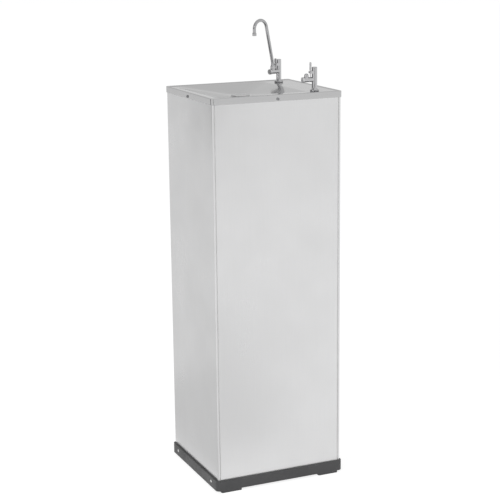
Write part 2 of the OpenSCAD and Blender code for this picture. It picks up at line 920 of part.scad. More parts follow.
module rear_panel() {
    flange_x = cab_x - sheet / 2 - corner_r - slip;
    flange_y = cab_y - sheet * 1.5;
    path = [
        [-flange_x, flange_y],
        [-recess_x, flange_y],
        [-recess_x, rear_y + sheet / 2],
        [recess_x, rear_y + sheet / 2],
        [recess_x, flange_y],
        [flange_x, flange_y]
    ];
    color(steel) difference() {
        translate([0, 0, bay_z]) linear_extrude(deck_under - bay_z)
            folded(path, [fold_r, fold_r, fold_r, fold_r]);
        translate([0, 0, -sheet - slip]) dish();
        at_rim_screws() screw_hole();
        at_rear_screws() screw_hole();
        for (x = [inlet_x, -outlet_x]) {
            at_rear(x, fitting_z) translate([0, 0, -sheet - past])
                cylinder(d = thread_d + 2 * hole_fit, h = sheet + 2 * past);
        }
        at_rear(-gland_x, fitting_z) translate([0, 0, -sheet - past])
            cylinder(d = gland_d + 2 * hole_fit, h = sheet + 2 * past);
        at_rear(thermo_x, thermo_z) translate([0, 0, -sheet - past])
            cylinder(d = stem_axle_d + 2 * hole_fit, h = sheet + 2 * past);
    }
}

module cabinet_screws() {
    color(steel) {
        at_rim_screws() screw();
        at_rear_screws() screw();
        at_seam_screws() screw();
        at_base_screws() screw();
    }
}

// Basin as a funnel from the deck down to the flat round the drain
module dish() {
    hull() {
        translate([dish_x, 0, deck_z]) linear_extrude(past, $fn = 32)
            rounded_square(dish_w, dish_d, dish_r);
        translate([dish_x, 0, dish_z]) cylinder(d = sump_d, h = past / 10, $fn = 32);
    }
}

// Clear hole for a tap's shank through the deck
module shank_hole() {
    translate([0, 0, -sheet - past]) cylinder(d = shank_d + 2 * hole_fit, h = sheet + 2 * past);
}

module basin_top() {
    rim_r = corner_r + sheet / 2 + rim_over;
    edge_z = rim_z - rim_edge;
    edge_w = rim_w - 2 * rim_edge;
    edge_d = rim_d - 2 * rim_edge;
    inner_w = rim_w - 2 * sheet;
    inner_d = rim_d - 2 * sheet;
    film = past / 10;
    color(steel) difference() {
        union() {
            difference() {
                union() {
                    prism(rim_w, rim_d, rim_r, rim_z - rim_skirt, edge_z);
                    hull() {
                        prism(rim_w, rim_d, rim_r, edge_z - film, edge_z);
                        prism(edge_w, edge_d, rim_r - rim_edge, rim_z - film, rim_z);
                    }
                }
                prism(inner_w, inner_d, rim_r - sheet, rim_z - rim_skirt - past, deck_under);
                prism(rim_w - 2 * lip_w, rim_d - 2 * lip_w, rim_r, deck_z, rim_z + past);
            }
            translate([0, 0, -sheet]) intersection() {
                dish();
                translate([dish_x, 0, dish_z]) linear_extrude(dish_fall)
                    square([dish_w + past, dish_d + past], center = true);
            }
        }
        dish();
        translate([dish_x, 0, dish_under - past])
            cylinder(d = drain_thread_d + 2 * hole_fit, h = sheet + 2 * past);
        at_glass_tap() shank_hole();
        at_jet_tap() shank_hole();
        at_rim_screws() screw_hole();
    }
}

module drain_strainer() {
    pitch = strainer_hole_d + strainer_web;
    color(steel) translate([dish_x, 0, strainer_z]) difference() {
        cylinder(d = strainer_d, h = strainer_t);
        translate([0, 0, -past]) cylinder(d = strainer_hole_d, h = strainer_t + 2 * past);
        for (ring = [1 : strainer_rings], k = [1 : 6 * ring]) {
            rotate(60 * k / ring) translate([ring * pitch, 0, -past])
                cylinder(d = strainer_hole_d, h = strainer_t + 2 * past);
        }
    }
}

module drain_body() {
    seat_d = strainer_d + 2 * hold_fit;
    color(steel) translate([dish_x, 0, 0]) difference() {
        union() {
            translate([0, 0, dish_z]) cylinder(d = drain_flange_d, h = drain_flange_h);
            translate([0, 0, drain_thread_z])
                cylinder(d = drain_thread_d, h = dish_z - drain_thread_z + past);
            translate([0, 0, spigot_z]) cylinder(d = spigot_d, h = spigot_len + past);
        }
        translate([0, 0, strainer_z]) cylinder(d = seat_d, h = strainer_t + past);
        translate([0, 0, drain_thread_z + drain_step])
            cylinder(d = drain_thread_d - 2 * drain_wall, h = drain_thread_len + drain_flange_h);
        translate([0, 0, spigot_z - past]) cylinder(d = drain_bore, h = spigot_len + drain_thread_len);
    }
}

module drain_gasket() {
    color(rubber) translate([dish_x, 0, dish_under - drain_gasket_t]) difference() {
        cylinder(d = drain_flange_d - 2 * gasket_inset, h = drain_gasket_t);
        translate([0, 0, -past]) cylinder(d = drain_thread_d + 2 * hold_fit, h = drain_gasket_t + 2 * past);
    }
}

module drain_nut() {
    color(white) translate([dish_x, 0, dish_under - drain_gasket_t - drain_nut_h])
        hex_nut(drain_thread_d + 2 * drain_nut_wall, drain_nut_h, drain_thread_d + 2 * hold_fit);
}

module drain_hose() {
    turn_z = spigot_z - drain_lead;
    route = rounded_route([
        [dish_x, 0, drain_thread_z - hose_gap],
        [dish_x, 0, turn_z],
        [-outlet_x, drain_drop_y, turn_z - drain_slant],
        [-outlet_x, drain_drop_y, fitting_z],
        [-outlet_x, rear_y - inner_thread - hose_gap, fitting_z]
    ], drain_bend);
    color(rubber) tube(route, drain_hose_d, drain_hose_bore, hose_sides);
}

// Fitting that is screwed through the rear panel, with spigots on both sides
module drain_outlet() {
    thread = sheet + inner_thread;
    color(white) at_rear(-outlet_x, fitting_z) difference() {
        union() {
            cylinder(d = hex_af / cos(30), h = hex_h, $fn = 6);
            cylinder(d = spigot_d, h = hex_h + spigot_len);
            translate([0, 0, -thread]) cylinder(d = thread_d, h = thread + past);
            translate([0, 0, -thread - spigot_len]) cylinder(d = spigot_d, h = spigot_len + past);
        }
        translate([0, 0, -thread - spigot_len - past])
            cylinder(d = drain_bore, h = thread + 2 * spigot_len + hex_h + 2 * past);
    }
}

module tap_gasket() {
    difference() {
        cylinder(d = flange_d - 2 * gasket_inset, h = gasket_t);
        translate([0, 0, -past]) cylinder(d = shank_d + 2 * hold_fit, h = gasket_t + 2 * past);
    }
}

module tap_gaskets() {
    color(rubber) {
        at_glass_tap() tap_gasket();
        at_jet_tap() tap_gasket();
    }
}

module tap_nut() {
    translate([0, 0, -sheet - tap_nut_h]) hex_nut(tap_nut_af, tap_nut_h, shank_d + 2 * hold_fit);
}

module tap_nuts() {
    color(brass) {
        at_glass_tap() tap_nut();
        at_jet_tap() tap_nut();
    }
}

// Screwed cap that closes the arm and backs the valve spring
module tap_cap() {
    difference() {
        translate([0, 0, arm_z]) rotate([0, 90, 0]) {
            translate([0, 0, arm_len]) pillar(cap_d, cap_h, cap_round);
            translate([0, 0, spring_x]) cylinder(d = chamber_d - 2 * hold_fit, h = cap_spigot + past);
        }
        translate([arm_len + cap_h - cap_round, -cap_d / 2, arm_z - slot_w / 2])
            cube([cap_round + past, cap_d, slot_w]);
    }
}

module tap_caps() {
    color(chrome) {
        at_glass_tap() tap_cap();
        at_jet_tap() tap_cap();
    }
}

module lever_pin() {
    translate([pivot_x, pin_len / 2, pivot_z]) rotate([90, 0, 0]) cylinder(d = pin_d, h = pin_len);
}

module lever_pins() {
    color(chrome) {
        at_glass_tap() lever_pin();
        at_jet_tap() lever_pin();
    }
}

// Ears on the body that hold the lever's pin
module ears() {
    ear_r = hub_d / 2;
    for (side = [-1, 1]) {
        y = side * (ear_y + ear_t / 2) + ear_t / 2;
        translate([0, y, pivot_z]) rotate([90, 0, 0]) linear_extrude(ear_t) {
            translate([stem_d / 4, -ear_r]) square([pivot_x - stem_d / 4, 2 * ear_r]);
            translate([pivot_x, 0]) circle(ear_r);
        }
    }
}

// Tap body: flange, stem with ears, arm with the valve chamber, outlet boss and shank
module tap_body() {
    slot_x = pivot_x - tail_t / 2 - slip;
    slot_end = pivot_x + tail_t / 2 + tail_throw + slip + past / 2;
    shank_end = -shank_len - nipple_len;
    difference() {
        union() {
            translate([0, 0, gasket_t]) cylinder(d = flange_d, h = flange_h);
            translate([0, 0, gasket_t + flange_h])
                cylinder(d1 = flange_d - 2 * cone_in, d2 = stem_d - slip, h = cone_h);
            translate([0, 0, gasket_t]) pillar(stem_d, tap_h - gasket_t, stem_round);
            translate([0, 0, arm_z]) rotate([0, 90, 0]) cylinder(d = arm_d, h = arm_len);
            translate([port_x, 0, arm_z]) cylinder(d = boss_d, h = boss_h);
            ears();
            translate([0, 0, -shank_len]) cylinder(d = shank_d, h = shank_len + gasket_t + past);
            translate([0, 0, shank_end]) cylinder(d = nipple_d, h = nipple_len + past);
        }
        translate([0, 0, shank_end - past]) cylinder(d = tap_bore, h = arm_z - shank_end + past);
        translate([0, 0, arm_z]) rotate([0, 90, 0]) cylinder(d = seat_bore, h = arm_len);
        translate([seat_x, 0, arm_z]) rotate([0, 90, 0]) cylinder(d = chamber_d, h = arm_len);
        translate([port_x, 0, arm_z]) cylinder(d = port_bore, h = boss_h + past);
        translate([slot_x, -tail_w / 2 - slip, arm_z]) cube([slot_end - slot_x, tail_w + 2 * slip, arm_d]);
        translate([pivot_x, stem_d, pivot_z]) rotate([90, 0, 0])
            cylinder(d = pin_d + 2 * hold_fit, h = 2 * stem_d);
    }
}

module glass_tap_body() {
    color(chrome) at_glass_tap() tap_body();
}

module jet_tap_body() {
    color(chrome) at_jet_tap() tap_body();
}

// Plunger with its moulded seal, a groove for the lever's tail, a land and a spring guide
module plunger() {
    face_x = seat_x + run_fit;
    groove_x = pivot_x - groove_w / 2;
    translate([0, 0, arm_z]) rotate([0, 90, 0]) {
        translate([0, 0, face_x]) cylinder(d = chamber_d - 4 * slip, h = groove_x - face_x);
        translate([0, 0, groove_x - past]) cylinder(d = core_d, h = groove_w + 2 * past);
        translate([0, 0, groove_x + groove_w]) cylinder(d = land_d, h = land_len);
        translate([0, 0, land_x - past]) cylinder(d = core_d, h = guide_len + past);
    }
}

module glass_plunger() {
    color(brass) at_glass_tap() plunger();
}

module jet_plunger() {
    color(brass) at_jet_tap() plunger();
}

// Coil spring between the plunger's land and the cap
module valve_spring() {
    count = spring_turns * spring_steps;
    lead = wire_d / 2 + wire_gap;
    reach = spring_x - land_x - 2 * lead;
    route = [
        for (i = [0 : count])
            let (turn = 360 * i / spring_steps)
            [land_x + lead + reach * i / count, spring_r * cos(turn), arm_z + spring_r * sin(turn)]
    ];
    rod(route, wire_d, coil_sides);
}

module glass_spring() {
    color(steel) at_glass_tap() valve_spring();
}

module jet_spring() {
    color(steel) at_jet_tap() valve_spring();
}

// Press lever: hub on the pin, tail into the plunger's groove, blade for the hand
module lever(tip_z) {
    neck_z = pivot_z + hub_d / 2 + slip;
    round_r = blade_w / 2;
    outline = [
        [-hub_w / 2, pivot_z],
        [hub_w / 2, pivot_z],
        [hub_w / 2, neck_z],
        [round_r, neck_z + round_r],
        [round_r, tip_z - round_r],
        [-round_r, tip_z - round_r],
        [-round_r, neck_z + round_r],
        [-hub_w / 2, neck_z]
    ];
    difference() {
        union() {
            translate([pivot_x, hub_w / 2, pivot_z]) rotate([90, 0, 0]) cylinder(d = hub_d, h = hub_w);
            translate([pivot_x - tail_t / 2, -tail_w / 2, tail_z]) cube([tail_t, tail_w, pivot_z - tail_z]);
            translate([pivot_x - blade_t / 2, 0, 0]) rotate([90, 0, 90]) linear_extrude(blade_t) {
                polygon(outline);
                translate([0, tip_z - round_r]) circle(round_r);
            }
        }
        translate([pivot_x, hub_w, pivot_z]) rotate([90, 0, 0])
            cylinder(d = pin_d + 2 * run_fit, h = 2 * hub_w);
    }
}

module glass_lever() {
    color(chrome) at_glass_tap() lever(glass_blade_z);
}

module jet_lever() {
    color(chrome) at_jet_tap() lever(jet_blade_z);
}

// Collar in which the gooseneck turns
module gooseneck_collar() {
    color(chrome) at_glass_tap() translate([port_x, 0, boss_z]) difference() {
        union() {
            cylinder(d = boss_d, h = collar_h - collar_taper);
            translate([0, 0, collar_h - collar_taper])
                cylinder(d1 = boss_d, d2 = boss_d - 2 * collar_draw, h = collar_taper);
        }
        translate([0, 0, -past]) cylinder(d = ferrule_d + 2 * run_fit, h = collar_h + 2 * past);
    }
}

// Middle line of the gooseneck from inside its ferrule, run past the spout by a given length
function gooseneck_route(over) = [
    lean_start - [0, 0, goose_root / 2],
    for (i = [0 : lean_steps])
        let (turn = goose_lean * i / lean_steps)
        lean_start + goose_foot_r * [1 - cos(turn), 0, sin(turn)],
    for (i = [0 : arch_steps])
        let (turn = (180 - goose_lean) * (1 - i / arch_steps))
        arch_mid + goose_r * [cos(turn), 0, sin(turn)],
    drop_end - [0, 0, over]
];

module gooseneck_tube() {
    color(chrome) at_glass_tap() difference() {
        union() {
            translate([port_x, 0, root_z]) cylinder(d = ferrule_d, h = goose_root);
            rod(gooseneck_route(0), goose_d, goose_sides);
        }
        translate([port_x, 0, root_z - past])
            cylinder(d = ferrule_bore, h = goose_root - ferrule_floor + past);
        rod(gooseneck_route(past), goose_bore, goose_sides);
    }
}

module spout_tip() {
    color(chrome) at_glass_tap() translate(drop_end - [0, 0, tip_lip]) difference() {
        union() {
            cylinder(d = tip_d, h = tip_len - tip_taper);
            translate([0, 0, tip_len - tip_taper])
                cylinder(d1 = tip_d, d2 = tip_d - 2 * tip_draw, h = tip_taper);
        }
        translate([0, 0, -past]) cylinder(d = goose_bore, h = tip_len);
        translate([0, 0, tip_lip]) cylinder(d = goose_d + 2 * hold_fit, h = tip_len);
    }
}

// Domed nozzle that throws the drinking jet
module jet_nozzle() {
    dome_r = nozzle_d / 2;
    color(chrome) at_jet_tap() translate([port_x, 0, boss_z]) difference() {
        rotate_extrude() {
            square([dome_r, nozzle_rim]);
            translate([0, nozzle_rim]) intersection() {
                circle(dome_r);
                square(dome_r);
            }
        }
        translate([0, 0, -past]) cylinder(d = port_bore, h = nozzle_rim + past);
        cylinder(d = jet_d, h = nozzle_rim + dome_r + past);
    }
}

module tank_shelf() {
    front = -cab_y + return_d + shelf_gap;
    depth = foam_rear - front;
    color(steel) difference() {
        union() {
            translate([-in_x, front, shelf_z - shelf_t]) cube([2 * in_x, depth, shelf_t]);
            for (side = [-1, 1]) {
                translate([side * (in_x - shelf_t / 2) - shelf_t / 2, front, shelf_z - shelf_flange])
                    cube([shelf_t, depth, shelf_flange]);
            }
        }
        translate([tank.x, tank.y, shelf_z - shelf_t - past])
            cylinder(d = nipple_d + 2 * slip, h = shelf_t + 2 * past);
    }
}

module cold_tank() {
    inner_d = tank_d - 2 * tank_wall;
    color(steel) translate(tank) difference() {
        union() {
            cylinder(d = tank_d, h = tank_h);
            translate([0, 0, tank_h - past])
                cylinder(d = tank_stub_d, h = tee_z - nipple_d - tank.z - tank_h + past);
            translate([0, 0, stub_z - tank.z]) cylinder(d = nipple_d, h = tank.z - stub_z + past);
        }
        translate([0, 0, tank_wall]) cylinder(d = inner_d, h = tank_h - 2 * tank_wall);
        translate([0, 0, stub_z - tank.z - past]) cylinder(d = tap_bore, h = tee_z - stub_z);
    }
}

module evaporator_coil() {
    count = evap_len * coil_steps;
    route = [
        [-evap_r, foam_half, 0],
        for (i = [0 : count])
            let (turn = 180 + 360 * i / coil_steps)
            [evap_r * cos(turn), evap_r * sin(turn), evap_pitch * i / coil_steps],
        [evap_r, foam_half, evap_pitch * evap_len]
    ];
    color(copper) translate([tank.x, tank.y, evap_z]) rod(route, evap_d, coil_sides);
}

// Foam block round the tank, with its cavity and the ways through it
module foam_block() {
    difference() {
        translate([-foam_half, -foam_half, shelf_z])
            cube([2 * foam_half, 2 * foam_half, foam_top - shelf_z]);
        translate([0, 0, tank.z]) cylinder(r = cavity_r, h = tank_h + slip);
        translate([0, 0, tank.z]) cylinder(d = tank_stub_d + 2 * slip, h = foam_top - tank.z + past);
        translate([0, 0, shelf_z - past]) cylinder(d = nipple_d + 2 * slip, h = foam_end + 2 * past);
        for (end = [[-evap_r, evap_z], [evap_r, evap_z + evap_pitch * evap_len]]) {
            translate([end[0], 0, end[1]]) rotate([-90, 0, 0])
                cylinder(d = evap_d + 2 * slip, h = foam_half + past);
        }
        translate([bulb.x - tank.x, bulb.y - tank.y, tank.z + tank_h])
            cylinder(d = sensor_d + 2 * slip, h = tank_h);
    }
}

module insulation_front() {
    color(foam) translate([tank.x, tank.y, 0]) intersection() {
        foam_block();
        translate([-foam_half - past, -foam_half - past, shelf_z - past])
            cube([2 * (foam_half + past), foam_half + past, foam_top - shelf_z + 2 * past]);
    }
}

module insulation_rear() {
    color(foam) translate([tank.x, tank.y, 0]) intersection() {
        foam_block();
        translate([-foam_half - past, 0, shelf_z - past])
            cube([2 * (foam_half + past), foam_half + past, foam_top - shelf_z + 2 * past]);
    }
}

// Tee on the tank's outlet, with a nipple for each tap's hose
module outlet_tee() {
    socket_z = foam_top + past;
    color(white) translate([tank.x, tank.y, 0]) difference() {
        union() {
            translate([0, 0, socket_z])
                cylinder(d = tank_stub_d + 2 * socket_wall, h = tee_z + nipple_d - socket_z);
            translate([0, tee_reach, tee_z]) rotate([90, 0, 0]) cylinder(d = nipple_d, h = 2 * tee_reach);
        }
        translate([0, 0, socket_z - past])
            cylinder(d = tank_stub_d + 2 * hold_fit, h = tee_z - nipple_d - socket_z + past + hold_fit);
        translate([0, 0, socket_z]) cylinder(d = tap_bore, h = tee_z - socket_z);
        translate([0, tee_reach + past, tee_z]) rotate([90, 0, 0])
            cylinder(d = tap_bore, h = 2 * (tee_reach + past));
    }
}

// Hose from one side of the tee to a tap's shank
module tap_hose(x, y, side) {
    start = tank.y + side * (tee_reach - nipple_len);
    route = rounded_route([
        [tank.x, start, tee_z],
        [tank.x, tank.y + side * (tee_reach + tee_lead), tee_z],
        [x, y, nipple_z - tap_lead],
        [x, y, nipple_z + nipple_len - hose_gap]
    ], hose_bend);
    color(white) tube(route, hose_d, hose_bore, hose_sides);
}

module glass_hose() {
    tap_hose(glass_x, glass_y, 1);
}

module jet_hose() {
    tap_hose(jet_x, -jet_y, -1);
}

// Threaded water inlet, screwed through the rear panel
module inlet_fitting() {
    thread = sheet + inner_thread;
    inner = thread + nipple_len;
    color(brass) at_rear(inlet_x, fitting_z) difference() {
        union() {
            cylinder(d = hex_af / cos(30), h = hex_h, $fn = 6);
            cylinder(d = thread_d, h = hex_h + thread_len);
            translate([0, 0, -thread]) cylinder(d = thread_d, h = thread + past);
            translate([0, 0, -inner]) cylinder(d = nipple_d, h = nipple_len + past);
        }
        translate([0, 0, -inner - past])
            cylinder(d = inlet_bore, h = inner + hex_h + thread_len + 2 * past);
    }
}

module bulkhead_nuts() {
    color(brass) for (x = [inlet_x, -outlet_x]) {
        at_rear(x, fitting_z) translate([0, 0, -sheet - nut_h])
            hex_nut(hex_af, nut_h, thread_d + 2 * hold_fit);
    }
}

module inlet_hose() {
    low_z = filter_bottom - nipple_len - inlet_sag;
    route = rounded_route([
        [inlet_x, rear_y - inner_thread - hose_gap, fitting_z],
        [inlet_x, comp_y, fitting_z],
        [-inlet_way_x, -filter_y - inlet_way_y, low_z],
        [filter_x, -filter_y, low_z],
        [filter_x, -filter_y, filter_bottom - hose_gap]
    ], hose_bend);
    color(white) tube(route, hose_d, hose_bore, hose_sides);
}

module filter_cartridge() {
    color(white) translate([filter_x, -filter_y, 0]) difference() {
        union() {
            translate([0, 0, filter_bottom + filter_len / 2]) {
                pillar(filter_d, filter_len / 2, filter_round);
                mirror([0, 0, 1]) pillar(filter_d, filter_len / 2, filter_round);
            }
            translate([0, 0, filter_bottom - nipple_len])
                cylinder(d = nipple_d, h = filter_len + 2 * nipple_len);
        }
        for (z = [filter_bottom - nipple_len - past, filter_top - nipple_len]) {
            translate([0, 0, z]) cylinder(d = tap_bore, h = 2 * nipple_len + past);
        }
    }
}

// Clips that hold the filter against the left panel
module filter_clips() {
    bore = filter_d + 2 * hold_fit;
    ring_d = bore + 2 * clip_t;
    color(black) for (share = [0.25, 0.75]) {
        translate([filter_x, -filter_y, filter_bottom + share * filter_len - clip_h / 2]) difference() {
            union() {
                cylinder(d = ring_d, h = clip_h);
                translate([-filter_wall, -filter_d / 4, 0]) cube([filter_wall, filter_d / 2, clip_h]);
            }
            translate([0, 0, -past]) cylinder(d = bore, h = clip_h + 2 * past);
            translate([bore / 4, -filter_d / 4, -past]) cube([ring_d, filter_d / 2, clip_h + 2 * past]);
        }
    }
}

module filter_hose() {
    high_z = shelf_z - shelf_t - filter_lead;
    route = rounded_route([
        [filter_x, -filter_y, filter_top + hose_gap],
        [filter_x, -filter_y, high_z],
        [tank.x, tank.y, high_z],
        [tank.x, tank.y, shelf_z - shelf_t - hose_gap]
    ], filter_bend);
    color(white) tube(route, hose_d, hose_bore, hose_sides);
}

// Sealed compressor with its weld band, foot plate and two tube stubs
module compressor() {
    margin = mount_od + 2 * plate_margin;
    color(black) translate([0, comp_y, 0]) difference() {
        union() {
            translate([0, 0, shell_z + comp_h / 2]) {
                pillar(comp_d, comp_h / 2, comp_dome);
                mirror([0, 0, 1]) pillar(comp_d, comp_h / 2, shell_low_r);
            }
            translate([0, 0, band_z]) cylinder(d = comp_d + 2 * band_out, h = band_h);
            translate([0, 0, plate_z]) cylinder(d = pedestal_d, h = shell_z - plate_z + past);
            prism(mount_w + margin, mount_d + margin, plate_r, plate_z, plate_z + plate_t);
            for (side = [-1, 1]) {
                translate([side * stub_x, stub_y - comp_y, shell_top - comp_dome])
                    cylinder(d = line_d + 2 * stub_wall, h = stub_rise + comp_dome);
            }
        }
        translate([0, -comp_y, 0]) at_mounts() translate([0, 0, plate_z - past])
            cylinder(d = neck_d + 2 * run_fit, h = plate_t + 2 * past);
    }
}

// Plastic cover over the compressor's terminals
module terminal_cover() {
    r = comp_d / 2;
    h = band_z - slip - cover_z;
    color(black) translate([0, comp_y, cover_z]) difference() {
        translate([r - cover_in, -cover_w / 2, 0]) cube([cover_in + cover_out, cover_w, h]);
        translate([0, 0, -past]) cylinder(r = r + slip / 2, h = h + 2 * past);
    }
}

module compressor_mounts() {
    color(rubber) at_mounts() translate([0, 0, mount_boss_z]) difference() {
        union() {
            cylinder(d = mount_od, h = mount_h);
            cylinder(d = neck_d, h = 2 * mount_h + neck_h);
            translate([0, 0, mount_h + neck_h]) cylinder(d = mount_od, h = mount_h);
        }
        translate([0, 0, -past])
            cylinder(d = bolt_d + 2 * hold_fit, h = mount_top - mount_boss_z + 2 * past);
    }
}

module compressor_bolts() {
    color(steel) at_mounts() {
        translate([0, 0, mount_boss_z - bolt_reach])
            cylinder(d = bolt_d, h = mount_top - mount_boss_z + bolt_reach + past);
        translate([0, 0, mount_top]) cylinder(d = mount_od, h = washer_t);
        translate([0, 0, mount_top + washer_t]) cylinder(d = bolt_head_d, h = bolt_head_h, $fn = 6);
    }
}

// Serpentine tube from the discharge line's end down to the drier
module condenser_tube() {
    turns = [
        for (i = [0 : cond_rows - 2])
            let (x = i % 2 == 0 ? cond_edge : -cond_edge)
            each [[x, cond_y, cond_top - i * cond_pitch], [x, cond_y, cond_top - (i + 1) * cond_pitch]]
    ];
    route = rounded_route([
        [riser_x, cond_y, riser_z],
        [riser_x, cond_y, cond_top],
        each turns,
        [cond_edge, cond_y, cond_z],
        [cond_edge, cond_y, drier_z]
    ], cond_pitch / 2 - bend_gap);
    color(black) rod(route, cond_d, line_sides);
}

// Upright wires on both faces of the tube
module condenser_wires() {
    color(black) for (i = [0 : wire_count - 1], face = [-1, 1]) {
        x = (i - (wire_count - 1) / 2) * cond_wire_pitch;
        translate([x, cond_y + face * wire_y, cond_z - wire_over])
            cylinder(d = cond_wire_d, h = cond_top - cond_z + 2 * wire_over);
    }
}

// Blocks on the rear panel that hold the condenser's tube between its wires
module condenser_clips() {
    clip_x = (wire_count / 2 - 1) * cond_wire_pitch;
    depth = cond_gap + cond_d;
    color(black) for (side = [-1, 1], row = [1, cond_rows - 2]) {
        translate([side * clip_x, 0, cond_z + row * cond_pitch]) difference() {
            translate([-clip_w / 2, rear_out, -cond_d]) cube([clip_w, depth, 2 * cond_d]);
            translate([-clip_w, cond_y, 0]) rotate([0, 90, 0])
                cylinder(d = cond_d + 2 * hold_fit, h = 2 * clip_w);
        }
    }
}

module filter_drier() {
    color(copper) translate([cond_edge, cond_y, drier_z - drier_len]) {
        translate([0, 0, drier_neck]) cylinder(d = drier_d, h = drier_len - 2 * drier_neck);
        cylinder(d1 = cond_d, d2 = drier_d, h = drier_neck);
        translate([0, 0, drier_len - drier_neck]) cylinder(d1 = drier_d, d2 = cond_d, h = drier_neck);
    }
}

module discharge_line() {
    high_z = stub_top + discharge_rise;
    route = rounded_route([
        [-stub_x, stub_y, stub_top],
        [-stub_x, stub_y, high_z],
        [riser_x, cond_y, high_z],
        [riser_x, cond_y, riser_z]
    ], line_bend);
    color(copper) rod(route, line_d, line_sides);
}

module suction_line() {
    line_y = foam_rear + suction_gap;
    start = [tank.x + evap_r, foam_rear, evap_z + evap_pitch * evap_len];
    high_z = stub_top + suction_rise;
    route = rounded_route([
        start,
        [start.x, line_y, start.z],
        [start.x, line_y, high_z],
        [stub_x, stub_y, high_z],
        [stub_x, stub_y, stub_top]
    ], line_bend);
    color(copper) rod(route, line_d, line_sides);
}

module capillary_tube() {
    line_y = foam_rear + capillary_gap;
    start = [cond_edge, cond_y, drier_z - drier_len];
    end = [tank.x - evap_r, foam_rear, evap_z];
    route = rounded_route([
        start,
        start - [0, 0, capillary_sag],
        [cond_edge / 2, rear_y - capillary_in, start.z - capillary_sag],
        [end.x, line_y, start.z + capillary_lift],
        [end.x, line_y, end.z],
        end
    ], line_bend);
    color(copper) rod(route, capillary_d, line_sides);
}

module thermostat_body() {
    color(white) at_rear(thermo_x, thermo_z) translate([0, 0, -sheet]) difference() {
        translate([-thermo_w / 2, -thermo_w / 2, -thermo_d]) cube([thermo_w, thermo_w, thermo_d]);
        translate([0, 0, -axle_depth]) cylinder(d = stem_axle_d + 2 * run_fit, h = thermo_d);
    }
}

// Knob with a pointer rib, on the stem that turns in the thermostat
module thermostat_knob() {
    rib = knob_round;
    color(black) at_rear(thermo_x, thermo_z) {
        translate([0, 0, -sheet - axle_depth + slip])
            cylinder(d = stem_axle_d, h = axle_depth + sheet + past);
        translate([0, 0, slip]) pillar(knob_d, knob_h, knob_round);
        translate([-rib / 2, -knob_d / 2, slip + knob_h - past]) cube([rib, knob_d / 2, past + rib / 2]);
    }
}

// Thin tube from the thermostat to its bulb against the tank
module sensor_tube() {
    turn_y = rear_y - thermo_d / 2;
    route = rounded_route([
        [bulb.x, turn_y, thermo_z - thermo_w / 2],
        [bulb.x, turn_y, sensor_z],
        [bulb.x, bulb.y, sensor_z],
        [bulb.x, bulb.y, bulb_z]
    ], line_bend);
    color(copper) {
        rod(route, sensor_d, line_sides);
        translate([bulb.x, bulb.y, bulb_z]) cylinder(d = bulb_d, h = bulb_len);
    }
}

// Snap-in bush that leads the mains cord through the rear panel
module cord_gland() {
    inner = sheet + gland_depth;
    color(black) at_rear(-gland_x, fitting_z) difference() {
        union() {
            cylinder(d = gland_d + 2 * gland_lip, h = gland_lip);
            translate([0, 0, -inner]) cylinder(d = gland_d, h = inner + past);
            translate([0, 0, -sheet - gland_lip - hold_fit])
                cylinder(d = gland_d + 2 * gland_barb, h = gland_lip);
        }
        translate([0, 0, -inner - past]) cylinder(d = gland_bore, h = inner + gland_lip + 2 * past);
    }
}

base_plinth();
feet();
left_panel();
right_panel();
front_panel();
rear_panel();
cabinet_screws();
basin_top();
drain_strainer();
drain_body();
drain_gasket();
drain_nut();
drain_hose();
drain_outlet();
tap_gaskets();
tap_nuts();
tap_caps();
lever_pins();
glass_tap_body();
glass_plunger();
glass_spring();
glass_lever();
gooseneck_collar();
gooseneck_tube();
spout_tip();
jet_tap_body();
jet_plunger();
jet_spring();
jet_lever();
jet_nozzle();
tank_shelf();
cold_tank();
evaporator_coil();
insulation_front();
insulation_rear();
outlet_tee();
glass_hose();
jet_hose();
inlet_fitting();
bulkhead_nuts();
inlet_hose();
filter_cartridge();
filter_clips();
filter_hose();
compressor();
terminal_cover();
compressor_mounts();
compressor_bolts();
condenser_tube();
condenser_wires();
condenser_clips();
filter_drier();
discharge_line();
suction_line();
capillary_tube();
thermostat_body();
thermostat_knob();
sensor_tube();
cord_gland();
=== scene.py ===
"""Looks of a column water cooler: finishes, pressed top, bent tubes, studio and camera."""
import json
import math

import bmesh
import bpy
from mathutils import Matrix, Vector

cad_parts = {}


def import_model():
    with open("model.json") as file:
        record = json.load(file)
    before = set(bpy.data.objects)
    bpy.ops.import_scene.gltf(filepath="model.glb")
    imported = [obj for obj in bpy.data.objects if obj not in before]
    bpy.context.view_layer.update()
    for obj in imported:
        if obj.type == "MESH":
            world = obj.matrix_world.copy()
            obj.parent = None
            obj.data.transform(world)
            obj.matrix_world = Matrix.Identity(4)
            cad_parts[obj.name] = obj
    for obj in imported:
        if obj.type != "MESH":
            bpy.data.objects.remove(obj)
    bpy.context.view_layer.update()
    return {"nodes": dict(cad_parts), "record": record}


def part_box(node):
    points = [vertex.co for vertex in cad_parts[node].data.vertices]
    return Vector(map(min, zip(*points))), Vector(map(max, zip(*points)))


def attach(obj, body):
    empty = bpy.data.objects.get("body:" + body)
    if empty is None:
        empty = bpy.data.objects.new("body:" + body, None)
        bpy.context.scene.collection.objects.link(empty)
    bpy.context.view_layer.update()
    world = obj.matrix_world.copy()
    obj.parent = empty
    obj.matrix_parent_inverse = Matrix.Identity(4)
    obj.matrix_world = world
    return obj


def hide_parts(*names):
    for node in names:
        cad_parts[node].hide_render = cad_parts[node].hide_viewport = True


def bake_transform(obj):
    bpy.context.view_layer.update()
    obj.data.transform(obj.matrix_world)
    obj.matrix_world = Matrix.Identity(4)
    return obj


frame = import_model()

NODES = frame["nodes"]
BODIES = frame["record"]["behaviour"]["bodies"]
BODY_OF = {node: body for body, nodes in BODIES.items() for node in nodes}
MM = 0.001
UP = Vector((0, 0, 1))


# Shader nodes

# Colour sockets of a mix node
MIX_A, MIX_B, MIX_RESULT = 6, 7, 2


